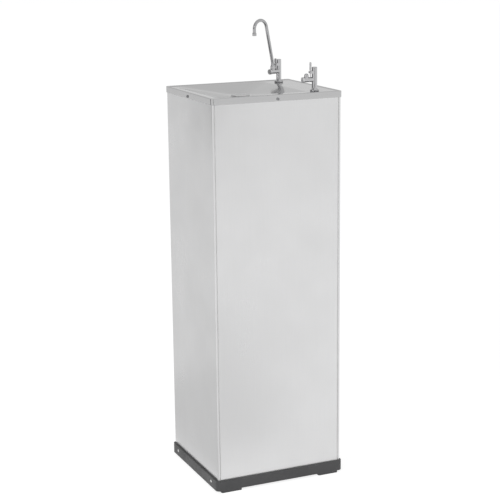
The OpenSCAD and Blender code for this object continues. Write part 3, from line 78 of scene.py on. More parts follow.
class Nodes:
    """Short ways to add and join the shader nodes of a material or a world."""

    def __init__(self, owner):
        owner.use_nodes = True
        self.tree = owner.node_tree

    def add(self, kind, **settings):
        node = self.tree.nodes.new(kind)
        for name, value in settings.items():
            setattr(node, name, value)
        return node

    def feed(self, source, socket):
        self.tree.links.new(source, socket)

    def fit(self, value, low, high, start=0.3, end=0.7):
        """Number that runs from low to high as the value runs from start to end."""
        fit = self.add("ShaderNodeMapRange")
        self.feed(value, fit.inputs["Value"])
        sockets = ("From Min", "From Max", "To Min", "To Max")
        for socket, number in zip(sockets, (start, end, low, high)):
            fit.inputs[socket].default_value = number
        return fit.outputs["Result"]

    def math(self, operation, a, b):
        node = self.add("ShaderNodeMath", operation=operation)
        for socket, value in zip(node.inputs, (a, b)):
            if isinstance(value, (int, float)):
                socket.default_value = value
            else:
                self.feed(value, socket)
        return node.outputs["Value"]


class Finish(Nodes):
    """A node material on one principled shader, with patterns in the object's own metres."""

    def __init__(self, name, colour, metallic=0.0, **sockets):
        self.material = bpy.data.materials.new(name)
        super().__init__(self.material)
        self.shader = self.tree.nodes["Principled BSDF"]
        self.shader.inputs["Metallic"].default_value = metallic
        for socket, value in sockets.items():
            self.shader.inputs[socket.replace("_", " ")].default_value = value
        self.colour = colour
        self.material.diffuse_color = (*colour, 1.0)
        self.coords = self.add("ShaderNodeTexCoord").outputs["Object"]

    def waves(self, scale):
        """Coordinates with so many waves to the metre, one number or one for each axis."""
        mapping = self.add("ShaderNodeMapping")
        mapping.inputs["Scale"].default_value = scale if isinstance(scale, tuple) else (scale,) * 3
        self.feed(self.coords, mapping.inputs["Vector"])
        return mapping.outputs["Vector"]

    def noise(self, scale, detail=2.0, roughness=0.5, distortion=0.0):
        noise = self.add("ShaderNodeTexNoise")
        noise.inputs["Scale"].default_value = 1.0
        noise.inputs["Detail"].default_value = detail
        noise.inputs["Roughness"].default_value = roughness
        noise.inputs["Distortion"].default_value = distortion
        self.feed(self.waves(scale), noise.inputs["Vector"])
        return noise.outputs["Fac"]

    def cells(self, scale):
        cells = self.add("ShaderNodeTexVoronoi")
        cells.inputs["Scale"].default_value = 1.0
        self.feed(self.waves(scale), cells.inputs["Vector"])
        return cells.outputs["Distance"]

    def edges(self, radius):
        """1 along edges tighter than the radius, 0 on open faces."""
        bevel = self.add("ShaderNodeBevel", samples=4)
        bevel.inputs["Radius"].default_value = radius
        plain = self.add("ShaderNodeNewGeometry")
        dot = self.add("ShaderNodeVectorMath", operation="DOT_PRODUCT")
        self.feed(bevel.outputs["Normal"], dot.inputs[0])
        self.feed(plain.outputs["Normal"], dot.inputs[1])
        return self.fit(dot.outputs["Value"], 1.0, 0.0, start=0.80, end=0.98)

    def tint(self, factor, colour):
        """Blends the colour so far with another by a pattern."""
        mix = self.add("ShaderNodeMix", data_type="RGBA")
        self.feed(factor, mix.inputs["Factor"])
        if isinstance(self.colour, tuple):
            mix.inputs[MIX_A].default_value = (*self.colour, 1.0)
        else:
            self.feed(self.colour, mix.inputs[MIX_A])
        mix.inputs[MIX_B].default_value = (*colour, 1.0)
        self.colour = mix.outputs[MIX_RESULT]

    def rough(self, value):
        self.feed(value, self.shader.inputs["Roughness"])

    def bump(self, height, strength, distance):
        """Adds relief, on top of any that is there."""
        bump = self.add("ShaderNodeBump")
        bump.inputs["Strength"].default_value = strength
        bump.inputs["Distance"].default_value = distance
        self.feed(height, bump.inputs["Height"])
        last = self.shader.inputs["Normal"].links
        if last:
            self.feed(last[0].from_socket, bump.inputs["Normal"])
        self.feed(bump.outputs["Normal"], self.shader.inputs["Normal"])

    def done(self):
        self.feed(self.colour, self.shader.inputs["Base Color"])
        return self.material


def grey(value, blue=0.0):
    return (value, value, value + blue)


# Materials

def brushed(name, value, grain, low, high):
    """Stainless sheet: fine grain along one axis, soft handling marks, bright worn edges."""
    f = Finish(name, grey(value, blue=0.004), metallic=1.0)
    lines = f.noise(grain, detail=4.0, roughness=0.6)
    marks = f.noise(9.0, detail=3.0)
    worn = f.edges(radius=0.0012)
    f.tint(f.fit(lines, 0.0, 0.35), grey(value * 0.90))
    f.tint(f.fit(marks, 0.0, 0.30, start=0.35, end=0.75), grey(value * 0.93))
    f.tint(f.fit(worn, 0.0, 0.5, start=0.0, end=1.0), grey(min(0.9, value * 1.2)))
    f.rough(f.math("ADD", f.fit(marks, low, high), f.fit(lines, -0.02, 0.03)))
    f.bump(lines, strength=0.10, distance=0.00006)
    return f.done()


def plated(name, value, low=0.035, high=0.085):
    """Chrome plate: a faint polishing haze and a few fine wipe marks."""
    f = Finish(name, grey(value, blue=0.008), metallic=1.0)
    haze = f.noise(60.0, detail=3.0)
    wipes = f.noise((2600.0, 240.0, 900.0))
    f.tint(f.fit(haze, 0.0, 0.25), grey(value * 0.90))
    f.rough(f.math("ADD", f.fit(haze, low, high), f.fit(wipes, 0.0, 0.02)))
    f.bump(wipes, strength=0.015, distance=0.00003)
    return f.done()


def moulded(name, colour, low, high, grain=2600.0, depth=0.22, worn=1.5):
    """Moulded plastic: fine spark-eroded grain, cloudy gloss, edges rubbed lighter."""
    f = Finish(name, colour)
    fine = f.noise(grain)
    cloud = f.noise(18.0, detail=3.0)
    rubbed = f.edges(radius=0.0015)
    f.tint(f.fit(cloud, 0.0, 0.5), tuple(c * 0.88 for c in colour))
    f.tint(f.fit(rubbed, 0.0, 0.45, start=0.0, end=1.0), tuple(min(0.95, c * worn) for c in colour))
    f.rough(f.math("ADD", f.fit(cloud, low, high), f.fit(fine, -0.04, 0.04)))
    f.bump(fine, strength=depth, distance=0.00012)
    return f.done()


def enamel():
    """Black stoved paint: orange peel, a dusty film and rubbed edges."""
    f = Finish("black_enamel", grey(0.018))
    peel = f.noise(420.0, detail=1.0)
    dust = f.noise(32.0, detail=4.0)
    rubbed = f.edges(radius=0.001)
    f.tint(f.fit(dust, 0.0, 0.5, start=0.45, end=0.75), grey(0.05))
    f.tint(f.fit(rubbed, 0.0, 0.4, start=0.0, end=1.0), grey(0.11))
    f.rough(f.fit(dust, 0.28, 0.5))
    f.bump(peel, strength=0.12, distance=0.00025)
    return f.done()


def drawn(name, colour, dull, low, high):
    """Drawn copper or turned brass with duller patches and fine tool lines."""
    f = Finish(name, colour, metallic=1.0)
    patches = f.noise(70.0, detail=4.0, distortion=0.6)
    lines = f.noise((3200.0, 3200.0, 500.0))
    f.tint(f.fit(patches, 0.0, 0.8, start=0.45, end=0.72), dull)
    f.rough(f.math("ADD", f.fit(patches, low, high), f.fit(lines, -0.03, 0.03)))
    f.bump(lines, strength=0.06, distance=0.00005)
    return f.done()


def zinc():
    """Zinc-plated steel: pale crystalline plate with a dull film in places."""
    f = Finish("zinc_plate", (0.60, 0.60, 0.59), metallic=1.0)
    flakes = f.noise(900.0)
    film = f.noise(120.0, detail=3.0)
    f.tint(f.fit(film, 0.0, 0.5), (0.46, 0.46, 0.44))
    f.rough(f.math("ADD", f.fit(film, 0.24, 0.38), f.fit(flakes, -0.04, 0.04)))
    f.bump(flakes, strength=0.06, distance=0.00005)
    return f.done()


def screws():
    """Screw steel, dulled up on the cabinet and bright where it is plated for the plinth."""
    plated_to, dull_from = 0.04, 0.06
    f = Finish("screw_steel", (0.30, 0.30, 0.31), metallic=1.0)
    patches = f.noise(70.0, detail=4.0, distortion=0.6)
    flakes = f.noise(900.0)
    place = f.add("ShaderNodeSeparateXYZ")
    f.feed(f.coords, place.inputs["Vector"])
    f.tint(f.fit(patches, 0.0, 0.8, start=0.45, end=0.72), (0.20, 0.20, 0.21))
    f.tint(f.fit(place.outputs["Z"], 1.0, 0.0, start=plated_to, end=dull_from), (0.88, 0.88, 0.87))
    f.rough(f.math("ADD", f.fit(patches, 0.26, 0.40), f.fit(flakes, -0.03, 0.03)))
    f.bump(flakes, strength=0.06, distance=0.00005)
    return f.done()


def rubber():
    """Dull black rubber with a grey bloom and a fine skin."""
    f = Finish("black_rubber", grey(0.020))
    skin = f.noise(1900.0, detail=3.0)
    bloom = f.noise(45.0, detail=3.0)
    f.tint(f.fit(bloom, 0.0, 0.6, start=0.42, end=0.75), grey(0.050))
    f.rough(f.fit(bloom, 0.62, 0.82))
    f.bump(skin, strength=0.25, distance=0.00012)
    return f.done()


def bead_foam():
    """White bead foam: pressed beads with shallow joints between them."""
    f = Finish("bead_foam", (0.84, 0.84, 0.82))
    beads = f.cells(290.0)
    pores = f.noise(1500.0)
    f.tint(f.fit(beads, 0.0, 0.5, start=0.35, end=0.75), (0.68, 0.68, 0.66))
    f.rough(f.fit(pores, 0.78, 0.92))
    f.bump(beads, strength=0.5, distance=0.0006)
    f.bump(pores, strength=0.2, distance=0.0001)
    return f.done()


def hose():
    """Milky polyethylene hose with faint die lines and a soft gloss."""
    f = Finish("milky_hose", (0.78, 0.80, 0.80), Subsurface_Weight=0.15, Subsurface_Radius=(0.002,) * 3)
    lines = f.noise((1400.0, 1400.0, 60.0))
    cloud = f.noise(28.0)
    f.tint(f.fit(cloud, 0.0, 0.5), (0.70, 0.73, 0.74))
    f.rough(f.fit(cloud, 0.30, 0.42))
    f.bump(lines, strength=0.08, distance=0.0001)
    return f.done()


PANEL = brushed("satin_steel", 0.685, (1900.0, 1900.0, 10.0), 0.27, 0.36)
DECK = brushed("bright_steel", 0.50, (10.0, 1700.0, 1700.0), 0.07, 0.12)
DRAIN = brushed("drain_steel", 0.62, (700.0, 700.0, 700.0), 0.30, 0.42)
CHROME = plated("chrome_plate", 0.50)
TUBE = plated("polished_tube", 0.41)
SATIN = plated("satin_chrome", 0.60, 0.28, 0.36)
CHARCOAL = moulded("charcoal_plastic", (0.061, 0.061, 0.063), 0.46, 0.60)
SEAL = moulded("grey_seal", (0.20, 0.20, 0.21), 0.50, 0.62, worn=1.2)
SEALANT = moulded("grey_sealant", (0.55, 0.55, 0.54), 0.45, 0.58, worn=1.0)
BLACK = moulded("black_plastic", (0.022, 0.022, 0.023), 0.42, 0.56, worn=2.2)
WHITE = moulded("white_plastic", (0.80, 0.80, 0.78), 0.30, 0.42, grain=1400.0, depth=0.06, worn=1.1)
ENAMEL = enamel()
BRASS = drawn("turned_brass", (0.72, 0.53, 0.24), (0.42, 0.29, 0.13), 0.20, 0.34)
COPPER = drawn("drawn_copper", (0.76, 0.42, 0.27), (0.36, 0.18, 0.11), 0.22, 0.40)
ZINC = zinc()
SCREW = screws()
RUBBER = rubber()
FOAM = bead_foam()
HOSE = hose()

FINISHES = {
    PANEL: ["front_panel", "left_panel", "right_panel", "rear_panel", "tank_shelf", "cold_tank"],
    DECK: ["basin_top"],
    DRAIN: ["drain_strainer", "drain_body"],
    CHROME: ["lever_pins", "glass_tap_body", "gooseneck_collar", "jet_tap_body", "jet_nozzle"],
    TUBE: ["gooseneck_tube", "spout_tip"],
    SATIN: ["glass_lever", "jet_lever", "tap_caps"],
    CHARCOAL: ["base_plinth", "feet"],
    BLACK: ["filter_clips", "terminal_cover", "condenser_clips", "thermostat_knob", "cord_gland"],
    WHITE: ["drain_nut", "drain_outlet", "outlet_tee", "filter_cartridge", "thermostat_body"],
    ENAMEL: ["compressor", "condenser_tube", "condenser_wires"],
    BRASS: ["tap_nuts", "glass_plunger", "jet_plunger", "inlet_fitting", "bulkhead_nuts"],
    COPPER: ["evaporator_coil", "filter_drier", "discharge_line", "suction_line", "capillary_tube",
             "sensor_tube"],
    ZINC: ["compressor_bolts", "glass_spring", "jet_spring"],
    SCREW: ["cabinet_screws"],
    RUBBER: ["drain_gasket", "drain_hose", "compressor_mounts"],
    SEAL: ["tap_gaskets"],
    FOAM: ["insulation_front", "insulation_rear"],
    HOSE: ["glass_hose", "jet_hose", "inlet_hose", "filter_hose"],
}
FINISH_OF = {node: material for material, nodes in FINISHES.items() for node in nodes}
for name, node in NODES.items():
    node.data.materials.clear()
    node.data.materials.append(FINISH_OF[name])


# Places and sizes shared with the solids, in mm

def corners(node):
    """Lowest and highest corner of a solid at rest."""
    return [Vector([round(c / MM, 3) for c in corner]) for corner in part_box(node)]


def middle(node):
    low, high = corners(node)
    return (low + high) / 2


SHEET = 1.0
RIM = corners("basin_top")[1]
DECK_Z = corners("tap_gaskets")[0].z
DISH = Vector((middle("drain_body").x, 0, corners("basin_top")[0].z + SHEET))

# Axis of each tap on the deck, and how far its arm turns from straight left, in degrees
GLASS_TAP = (118.0, 100.0, 20.0)
JET_TAP = (110.0, -120.0, 0.0)

# Axis of the tank, and the rear face of the foam round it
TANK_X, TANK_Y = middle("cold_tank").x, corners("insulation_front")[1].y
FOAM_Y = corners("insulation_rear")[1].y

# Evaporator's winding, compressor's stubs and condenser's tube
COIL_R, COIL_Z, COIL_PITCH, COIL_TURNS = 69.74, 597.0, 12.0, 7.5
COIL_END_Z = COIL_Z + COIL_PITCH * COIL_TURNS
STUB_X, STUB_Y, STUB_Z = 38.0, 53.0, corners("compressor")[1].z
LINE_R, LINE_BEND = 3.0, 14.0
CONDENSER_R = 2.5
CONDENSER_Y = middle("condenser_tube").y
RISER_X = corners("condenser_tube")[0].x + CONDENSER_R

# Water hoses, and how far they lap over their spigots
HOSE_R, HOSE_BORE, HOSE_LAP = 6.6, 4.6, 13.0


# Modelling

def soften(name, width):
    """Breaks the sharp edges of a solid without touching its mesh."""
    node = NODES[name]
    weld = node.modifiers.new("weld", "WELD")
    weld.merge_threshold = 0.01 * MM
    bevel = node.modifiers.new("edges", "BEVEL")
    bevel.width = width * MM
    bevel.segments = 3
    bevel.limit_method = "ANGLE"
    bevel.angle_limit = math.radians(32)
    bevel.miter_outer = "MITER_ARC"
    bevel.harden_normals = True
    normals = node.modifiers.new("normals", "WEIGHTED_NORMAL")
    normals.keep_sharp = True


def piece(name, verts, faces, node, angle=35.0, rides=True, stands=True):
    """New mesh in place of a node or beside it, on its body and in its finish. Points in mm."""
    mesh = bpy.data.meshes.new(name)
    mesh.from_pydata([tuple(c * MM for c in v) for v in verts], [], faces)
    bm = bmesh.new()
    bm.from_mesh(mesh)
    bmesh.ops.recalc_face_normals(bm, faces=bm.faces)
    bm.to_mesh(mesh)
    bm.free()
    mesh.shade_smooth()
    mesh.set_sharp_from_angle(angle=math.radians(angle))
    mesh.materials.append(FINISH_OF[node])
    obj = bpy.data.objects.new(name, mesh)
    bpy.context.scene.collection.objects.link(obj)
    if rides:
        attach(obj, BODY_OF[node])
    if stands:
        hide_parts(node)
    return obj


def circle(steps):
    """Angles of even steps round a circle."""
    return [2 * math.pi * k / steps for k in range(steps)]


def bezier(a, b, c, t):
    return (1 - t) ** 2 * a + 2 * t * (1 - t) * b + t ** 2 * c


def rounded_route(points, r, steps=10):
    """The points with each corner between them rounded to a radius."""
    points = [Vector(p) for p in points]
    route = [points[0]]
    for a, b, c in zip(points, points[1:], points[2:]):
        u, v = (a - b).normalized(), (c - b).normalized()
        half = u.angle(v) / 2
        mid = b + (u + v).normalized() * (r / math.sin(half))
        out = (b + u * (r / math.tan(half)) - mid).normalized()
        for i in range(steps + 1):
            t = (math.pi - 2 * half) * i / steps
            route.append(mid + r * (math.cos(t) * out - math.sin(t) * u))
    return route + [points[-1]]


def sweep(name, route, radius, node, bore=0.0, sides=20, rides=True):
    """Round tube along a route, with one radius or one for each point. With a bore its ends are open."""
    edge_share, bore_depth = 0.08, 4
    route = [Vector(p) for p in route]
    radii = list(radius) if isinstance(radius, (list, tuple)) else [radius] * len(route)
    last = len(route) - 1
    ahead = [(route[min(i + 1, last)] - route[max(i - 1, 0)]).normalized() for i in range(last + 1)]
    side = ahead[0].orthogonal().normalized()
    frames = []
    for t in ahead:
        side = (side - side.dot(t) * t).normalized()
        frames.append((side, t.cross(side)))
    edge = min(radii) * edge_share
    rings = [(0, 0.0, radii[0] - edge), (0, 2 * edge, radii[0])]
    rings += [(i, 0.0, radii[i]) for i in range(1, last)]
    rings += [(last, -2 * edge, radii[last]), (last, 0.0, radii[last] - edge)]
    if bore:
        deep = bore_depth * bore
        rings = [(0, deep, bore), (0, 0.0, bore)] + rings + [(last, 0.0, bore), (last, -deep, bore)]
    verts = []
    for i, along, r in rings:
        n, b = frames[i]
        p = route[i] + along * ahead[i]
        verts += [p + r * (math.cos(a) * n + math.sin(a) * b) for a in circle(sides)]
    faces = [list(range(sides))[::-1], [len(verts) - sides + k for k in range(sides)]]
    for i in range(len(rings) - 1):
        for k in range(sides):
            a, b = i * sides + k, i * sides + (k + 1) % sides
            faces.append([a, b, b + sides, a + sides])
    return piece(name, verts, faces, node, rides=rides)


def lathe(name, profile, x, y, node, sides=96):
    """Closed profile of radius and height turned about an upright axis."""
    verts = [(x + r * math.cos(a), y + r * math.sin(a), z) for r, z in profile for a in circle(sides)]
    faces = []
    for i in range(len(profile)):
        a, b = i * sides, (i + 1) % len(profile) * sides
        faces += [[a + k, a + (k + 1) % sides, b + (k + 1) % sides, b + k] for k in range(sides)]
    return piece(name, verts, faces, node)


def rectangle(w, d, r, x, corner, side):
    """Loop of points round a rectangle with round corners, and the outward turn at each."""
    loop = []
    for k, (sx, sy) in enumerate(((1, 1), (-1, 1), (-1, -1), (1, -1))):
        mid = Vector((x + sx * (w / 2 - r), sy * (d / 2 - r), 0))
        for i in range(corner + 1):
            t = math.pi / 2 * (k + i / corner)
            loop.append((mid + r * Vector((math.cos(t), math.sin(t), 0)), t))
        length = (d if k % 2 else w) - 2 * r
        run = Vector((-math.sin(t), math.cos(t), 0))
        start = loop[-1][0].copy()
        for i in range(1, side):
            loop.append((start + run * length * i / side, t))
    return loop


class Shell:
    """Points and faces of a sheet that is built ring by ring."""

    def __init__(self):
        self.verts, self.faces = [], []

    def ring(self, points):
        start = len(self.verts)
        self.verts.extend(points)
        return list(range(start, len(self.verts)))

    def bridge(self, rings):
        """Faces between each ring and the next."""
        for a, b in zip(rings, rings[1:]):
            n = len(a)
            self.faces += [[a[i], a[(i + 1) % n], b[(i + 1) % n], b[i]] for i in range(n)]

    def fill(self, *rings):
        """Flat field between an outer ring and the rings of the holes in it."""
        bm = bmesh.new()
        index, edges = {}, []
        for ring in rings:
            points = [bm.verts.new(self.verts[i]) for i in ring]
            index.update(zip(points, ring))
            edges += [bm.edges.new(pair) for pair in zip(points, points[1:] + points[:1])]
        made = bmesh.ops.triangle_fill(bm, use_beauty=True, use_dissolve=False, edges=edges)["geom"]
        for face in made:
            if isinstance(face, bmesh.types.BMFace):
                self.faces.append([index[v] for v in face.verts])
        bm.free()


# Top and drain

def rim_section():
    """Inset and height of the lines round the rim, from the skirt's hem over the roll to the deck."""
    skirt, hem, hem_inset, brow = 15.5, 0.5, 0.35, 9.0
    roll_r, roll_steps = 1.7, 6
    crest, fall, fall_steps = 3.2, 4.2, 10
    section = [(hem_inset, RIM.z - skirt), (0.0, RIM.z - skirt + hem), (0.0, RIM.z - brow)]
    for i in range(roll_steps + 1):
        t = math.pi / 2 * i / roll_steps
        section.append((roll_r * (1 - math.cos(t)), RIM.z - roll_r * (1 - math.sin(t))))
    for i in range(fall_steps + 1):
        rise = (1 + math.cos(math.pi * i / fall_steps)) / 2
        section.append((crest + fall * i / fall_steps, DECK_Z + (RIM.z - DECK_Z) * rise))
    return section


def basin_loops():
    """Loops of the basin, from its lip on the deck down its sloping sides to the drain's hole."""
    width, depth, corner_r = 243.0, 276.0, 28.0
    sump_r, hole_r = 29.0, 15.3
    lip, heel, toe, flat = 5.0, 7.0, 9.0, 5.0
    corner_steps, side_steps, bend_steps, slope_steps = 14, 16, 6, 7
    side_share = 25.0
    profiles = []
    outline = rectangle(width, depth, corner_r, DISH.x, corner_steps, side_steps)
    for i, (p, turn) in enumerate(outline):
        quarter, step = divmod(i, corner_steps + side_steps)
        if step <= corner_steps:
            angle = side_share + (90.0 - 2 * side_share) * step / corner_steps
        else:
            angle = 90.0 - side_share + 2 * side_share * (step - corner_steps) / side_steps
        a = math.radians(90.0 * quarter + angle)
        spoke = Vector((math.cos(a), math.sin(a), 0))
        out = Vector((math.cos(turn), math.sin(turn), 0))
        top = Vector((p.x, p.y, DECK_Z))
        low = DISH + sump_r * spoke
        down = (low - top).normalized()
        start, end = top + heel * down, low - toe * down
        profile = [bezier(top + lip * out, top, start, k / bend_steps) for k in range(bend_steps + 1)]
        profile += [start.lerp(end, k / slope_steps) for k in range(1, slope_steps)]
        profile += [bezier(end, low, low - flat * spoke, k / bend_steps) for k in range(bend_steps + 1)]
        profiles.append(profile + [DISH + hole_r * spoke])
    return list(zip(*profiles))


def pressed_top():
    """Top drawn from one sheet: skirt, rolled rim, deck, and a basin that falls to its drain."""
    corner_r, inner_r, deck_inset = 5.5, 3.8, 4.0
    shank_r, shank_steps = 6.3, 32
    shell = Shell()
    rim = []
    for inset, z in rim_section():
        r = max(corner_r - inset, inner_r) if inset < deck_inset else corner_r
        loop = rectangle(2 * (RIM.x - inset), 2 * (RIM.y - inset), r, x=0.0, corner=6, side=8)
        rim.append(shell.ring([Vector((p.x, p.y, z)) for p, _ in loop]))
    basin = [shell.ring(loop) for loop in basin_loops()]
    holes = []
    for x, y, _ in (GLASS_TAP, JET_TAP):
        holes.append(shell.ring([Vector((x + shank_r * math.cos(t), y + shank_r * math.sin(t), DECK_Z))
                                 for t in circle(shank_steps)]))
    shell.bridge(rim)
    shell.bridge(basin)
    shell.fill(rim[-1], basin[0], *holes)

    top = piece("pressed_top", shell.verts, shell.faces, "basin_top", angle=40.0)
    if sum(face.normal.z * face.area for face in top.data.polygons) < 0:
        top.data.flip_normals()
    sheet = top.modifiers.new("sheet", "SOLIDIFY")
    sheet.thickness = SHEET * MM
    sheet.offset = -1.0
    normals = top.modifiers.new("normals", "WEIGHTED_NORMAL")
    normals.keep_sharp = True
    return top


def turned_drain():
    """Drain body: flange thinned to its rim, seat for the strainer, thread and spigot."""
    low, high = corners("drain_body")
    flange_r, crown_r, thread_r, spigot_r = high.y, 19.5, 15.0, 10.0
    seat_r, cup_r, bore_r = 19.02, 12.0, 7.5
    seat_z = corners("drain_strainer")[0].z
    spigot, cup_floor = 20.0, 24.0
    thread_z, cup_z = low.z + spigot, low.z + cup_floor
    rim, break_rim, break_end, break_thread = 0.35, 0.15, 0.4, 0.5
    swell, steps = 1.6, 12

    rim_z = DISH.z + rim
    profile = [(thread_r, DISH.z), (flange_r - break_rim, DISH.z), (flange_r, DISH.z + break_rim)]
    for i in range(steps + 1):
        t = math.pi / 2 * i / steps
        r = crown_r + (flange_r - crown_r) * math.cos(t)
        profile.append((r, rim_z + (high.z - rim_z) * math.sin(t) ** swell))
    profile += [(seat_r, high.z), (seat_r, seat_z), (cup_r + break_end, seat_z), (cup_r, seat_z - break_end)]
    profile += [(cup_r, cup_z), (bore_r, cup_z), (bore_r, low.z)]
    profile += [(spigot_r - break_end, low.z), (spigot_r, low.z + break_end), (spigot_r, thread_z)]
    profile += [(thread_r - break_thread, thread_z), (thread_r, thread_z + break_thread)]
    return lathe("turned_drain", profile, DISH.x, DISH.y, "drain_body")


def seam_bead(name, side):
    """Thin grey sealant in the groove between the front panel and a side panel."""
    seam, depth, thick, wide, end_gap = 0.6, 1.0, 1.0, 1.1, 1.0
    low, high = corners("front_panel")
    mid, front = side * (high.x + seam / 2), low.y + depth
    back = front + thick
    section = [(mid - wide / 2, front), (mid + wide / 2, front)]
    section += [(mid + seam / 2, back), (mid - seam / 2, back)]
    verts = [(x, y, z) for z in (low.z + end_gap, high.z - end_gap) for x, y in section]
    faces = [[0, 1, 2, 3], [4, 5, 6, 7]]
    faces += [[k, (k + 1) % 4, (k + 1) % 4 + 4, k + 4] for k in range(4)]
    bead = piece(name, verts, faces, "tap_gaskets", stands=False)
    bead.data.materials[0] = SEALANT
    return bead


# Taps

def arm(tap):
    """Foot of a tap on the deck, and the directions along and across its arm."""
    x, y, turn = tap
    t = math.radians(180 + turn)
    return (Vector((x, y, DECK_Z)), Vector((math.cos(t), math.sin(t), 0)),
            Vector((-math.sin(t), math.cos(t), 0)))


def gooseneck():
    """Swan-necked tube on its ferrule, with an open end."""
    foot_u, foot_z, foot_edge = 21.5, 35.7, 0.3
    ferrule_r, ferrule_z = 4.3, 47.0
    shoulder_r, shoulder = 4.2, 0.7
    tube_r, bore_r = 4.0, 3.0
    lean, bend_r, straight, arch_r = math.radians(13), 30.0, 90.0, 21.0
    # Length of the straight drop at the end, and height of the one ring of points in it
    drop, ring_z = 14.0, 130.0
    bend_steps, straight_steps, arch_steps = 8, 8, 40

    bend_z = ferrule_z + shoulder
    heights = (foot_z, foot_z + foot_edge, ferrule_z, ferrule_z + shoulder / 2, bend_z)
    line = [(foot_u, z) for z in heights]
    radii = [ferrule_r, ferrule_r, ferrule_r, shoulder_r, tube_r]
    for i in range(1, bend_steps + 1):
        t = lean * i / bend_steps
        line.append((foot_u + bend_r * (1 - math.cos(t)), bend_z + bend_r * math.sin(t)))
    start_u, start_z = line[-1]
    for i in range(1, straight_steps):
        run = straight * i / straight_steps
        line.append((start_u + run * math.sin(lean), start_z + run * math.cos(lean)))
    mid_u = start_u + straight * math.sin(lean) + arch_r * math.cos(lean)
    mid_z = start_z + straight * math.cos(lean) - arch_r * math.sin(lean)
    for i in range(arch_steps + 1):
        t = (math.pi - lean) * (1 - i / arch_steps)
        line.append((mid_u + arch_r * math.cos(t), mid_z + arch_r * math.sin(t)))
    line += [(mid_u + arch_r, ring_z), (mid_u + arch_r, mid_z - drop)]
    radii += [tube_r] * (len(line) - len(radii))

    foot, along, _ = arm(GLASS_TAP)
    route = [foot + u * along + z * UP for u, z in line]
    return sweep("gooseneck", route, radii, "gooseneck_tube", bore=bore_r, sides=32)


def spring(name, node, tap):
    """Compression spring round the plunger's guide, shortened between the plunger's land and the cap."""
    arm_z, land, length = 28.5, 16.55, 8.5
    coil_r, wire_r, turns, steps = 2.75, 0.35, 6, 20
    foot, along, across = arm(tap)
    axis = foot + arm_z * UP
    start, end = axis + land * along, axis + (land + length) * along
    route = []
    for i in range(turns * steps + 1):
        a = 2 * math.pi * i / steps
        out = math.cos(a) * across + math.sin(a) * UP
        route.append(start.lerp(end, i / (turns * steps)) + coil_r * out)
    coil = sweep(name, route, wire_r, node, sides=8, rides=False)
    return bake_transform(coil)


# Hoses and lines, along the routes of their solids

def drain_pipe():
    """Hose from the drain down behind the foam to the outlet."""
    hose_r, bore_r, lap, clear, straight = 12.5, 10.1, 19.0, 4.0, 19.4
    lead_z, slant_z = 864.0, 828.0
    top_z = corners("drain_body")[0].z + lap
    out = middle("drain_outlet")
    end_y = corners("drain_outlet")[0].y + lap
    drop_y = FOAM_Y + hose_r + clear
    route = rounded_route([
        (DISH.x, 0, top_z), (DISH.x, 0, lead_z), (out.x, drop_y, slant_z),
        (out.x, drop_y, out.z), (out.x, end_y, out.z)
    ], end_y - drop_y - straight, steps=14)
    sweep("drain_pipe", route, hose_r, "drain_hose", bore=bore_r, sides=28)


def supply_pipes():
    """Hoses from the tee on the tank to the shank of each tap."""
    tee_drop, tee_arm, reach, rise_z, bend = 9.0, 16.0, 70.0, 854.5, 16.0
    tee_z = corners("outlet_tee")[1].z - tee_drop
    for name, node, body, tap, side in (("glass_supply", "glass_hose", "glass_tap_body", GLASS_TAP, 1),
                                        ("jet_supply", "jet_hose", "jet_tap_body", JET_TAP, -1)):
        x, y, _ = tap
        end_z = corners(body)[0].z + HOSE_LAP
        route = rounded_route([
            (TANK_X, TANK_Y + side * tee_arm, tee_z), (TANK_X, TANK_Y + side * reach, tee_z),
            (x, y, rise_z), (x, y, end_z)
        ], bend)
        sweep(name, route, HOSE_R, node, bore=HOSE_BORE)


def filter_pipes():
    """Hoses from the inlet to the filter, and from the filter to the tank."""
    inlet, cartridge = middle("inlet_fitting"), middle("filter_cartridge")
    inlet_y = corners("inlet_fitting")[0].y + HOSE_LAP
    low_z, high_z = (corner.z for corner in corners("filter_cartridge"))
    tank_z = corners("cold_tank")[0].z + HOSE_LAP
    turn_y, side, floor_z, over_z = 25.0, (-60.0, -90.0), 230.0, 528.5
    inlet_bend, filter_bend = 16.0, 12.0
    route = rounded_route([
        (inlet.x, inlet_y, inlet.z), (inlet.x, turn_y, inlet.z), (*side, floor_z),
        (cartridge.x, cartridge.y, floor_z), (cartridge.x, cartridge.y, low_z + HOSE_LAP)
    ], inlet_bend)
    sweep("inlet_supply", route, HOSE_R, "inlet_hose", bore=HOSE_BORE)
    route = rounded_route([
        (cartridge.x, cartridge.y, high_z - HOSE_LAP), (cartridge.x, cartridge.y, over_z),
        (TANK_X, TANK_Y, over_z), (TANK_X, TANK_Y, tank_z)
    ], filter_bend)
    sweep("filter_supply", route, HOSE_R, "filter_hose", bore=HOSE_BORE)


def discharge_pipe():
    """Line from the compressor to the condenser."""
    rise = 34.0
    end_z = corners("condenser_tube")[0].z
    route = rounded_route([
        (-STUB_X, STUB_Y, STUB_Z), (-STUB_X, STUB_Y, STUB_Z + rise),
        (RISER_X, CONDENSER_Y, STUB_Z + rise), (RISER_X, CONDENSER_Y, end_z)
    ], LINE_BEND)
    sweep("discharge_pipe", route, LINE_R, "discharge_line")


def suction_pipe():
    """Line from the evaporator down behind the foam to the compressor."""
    behind, rise = 36.0, 40.0
    x, y = TANK_X + COIL_R, FOAM_Y + behind
    route = rounded_route([
        (x, FOAM_Y, COIL_END_Z), (x, y, COIL_END_Z), (x, y, STUB_Z + rise),
        (STUB_X, STUB_Y, STUB_Z + rise), (STUB_X, STUB_Y, STUB_Z)
    ], LINE_BEND)
    sweep("suction_pipe", route, LINE_R, "suction_line")


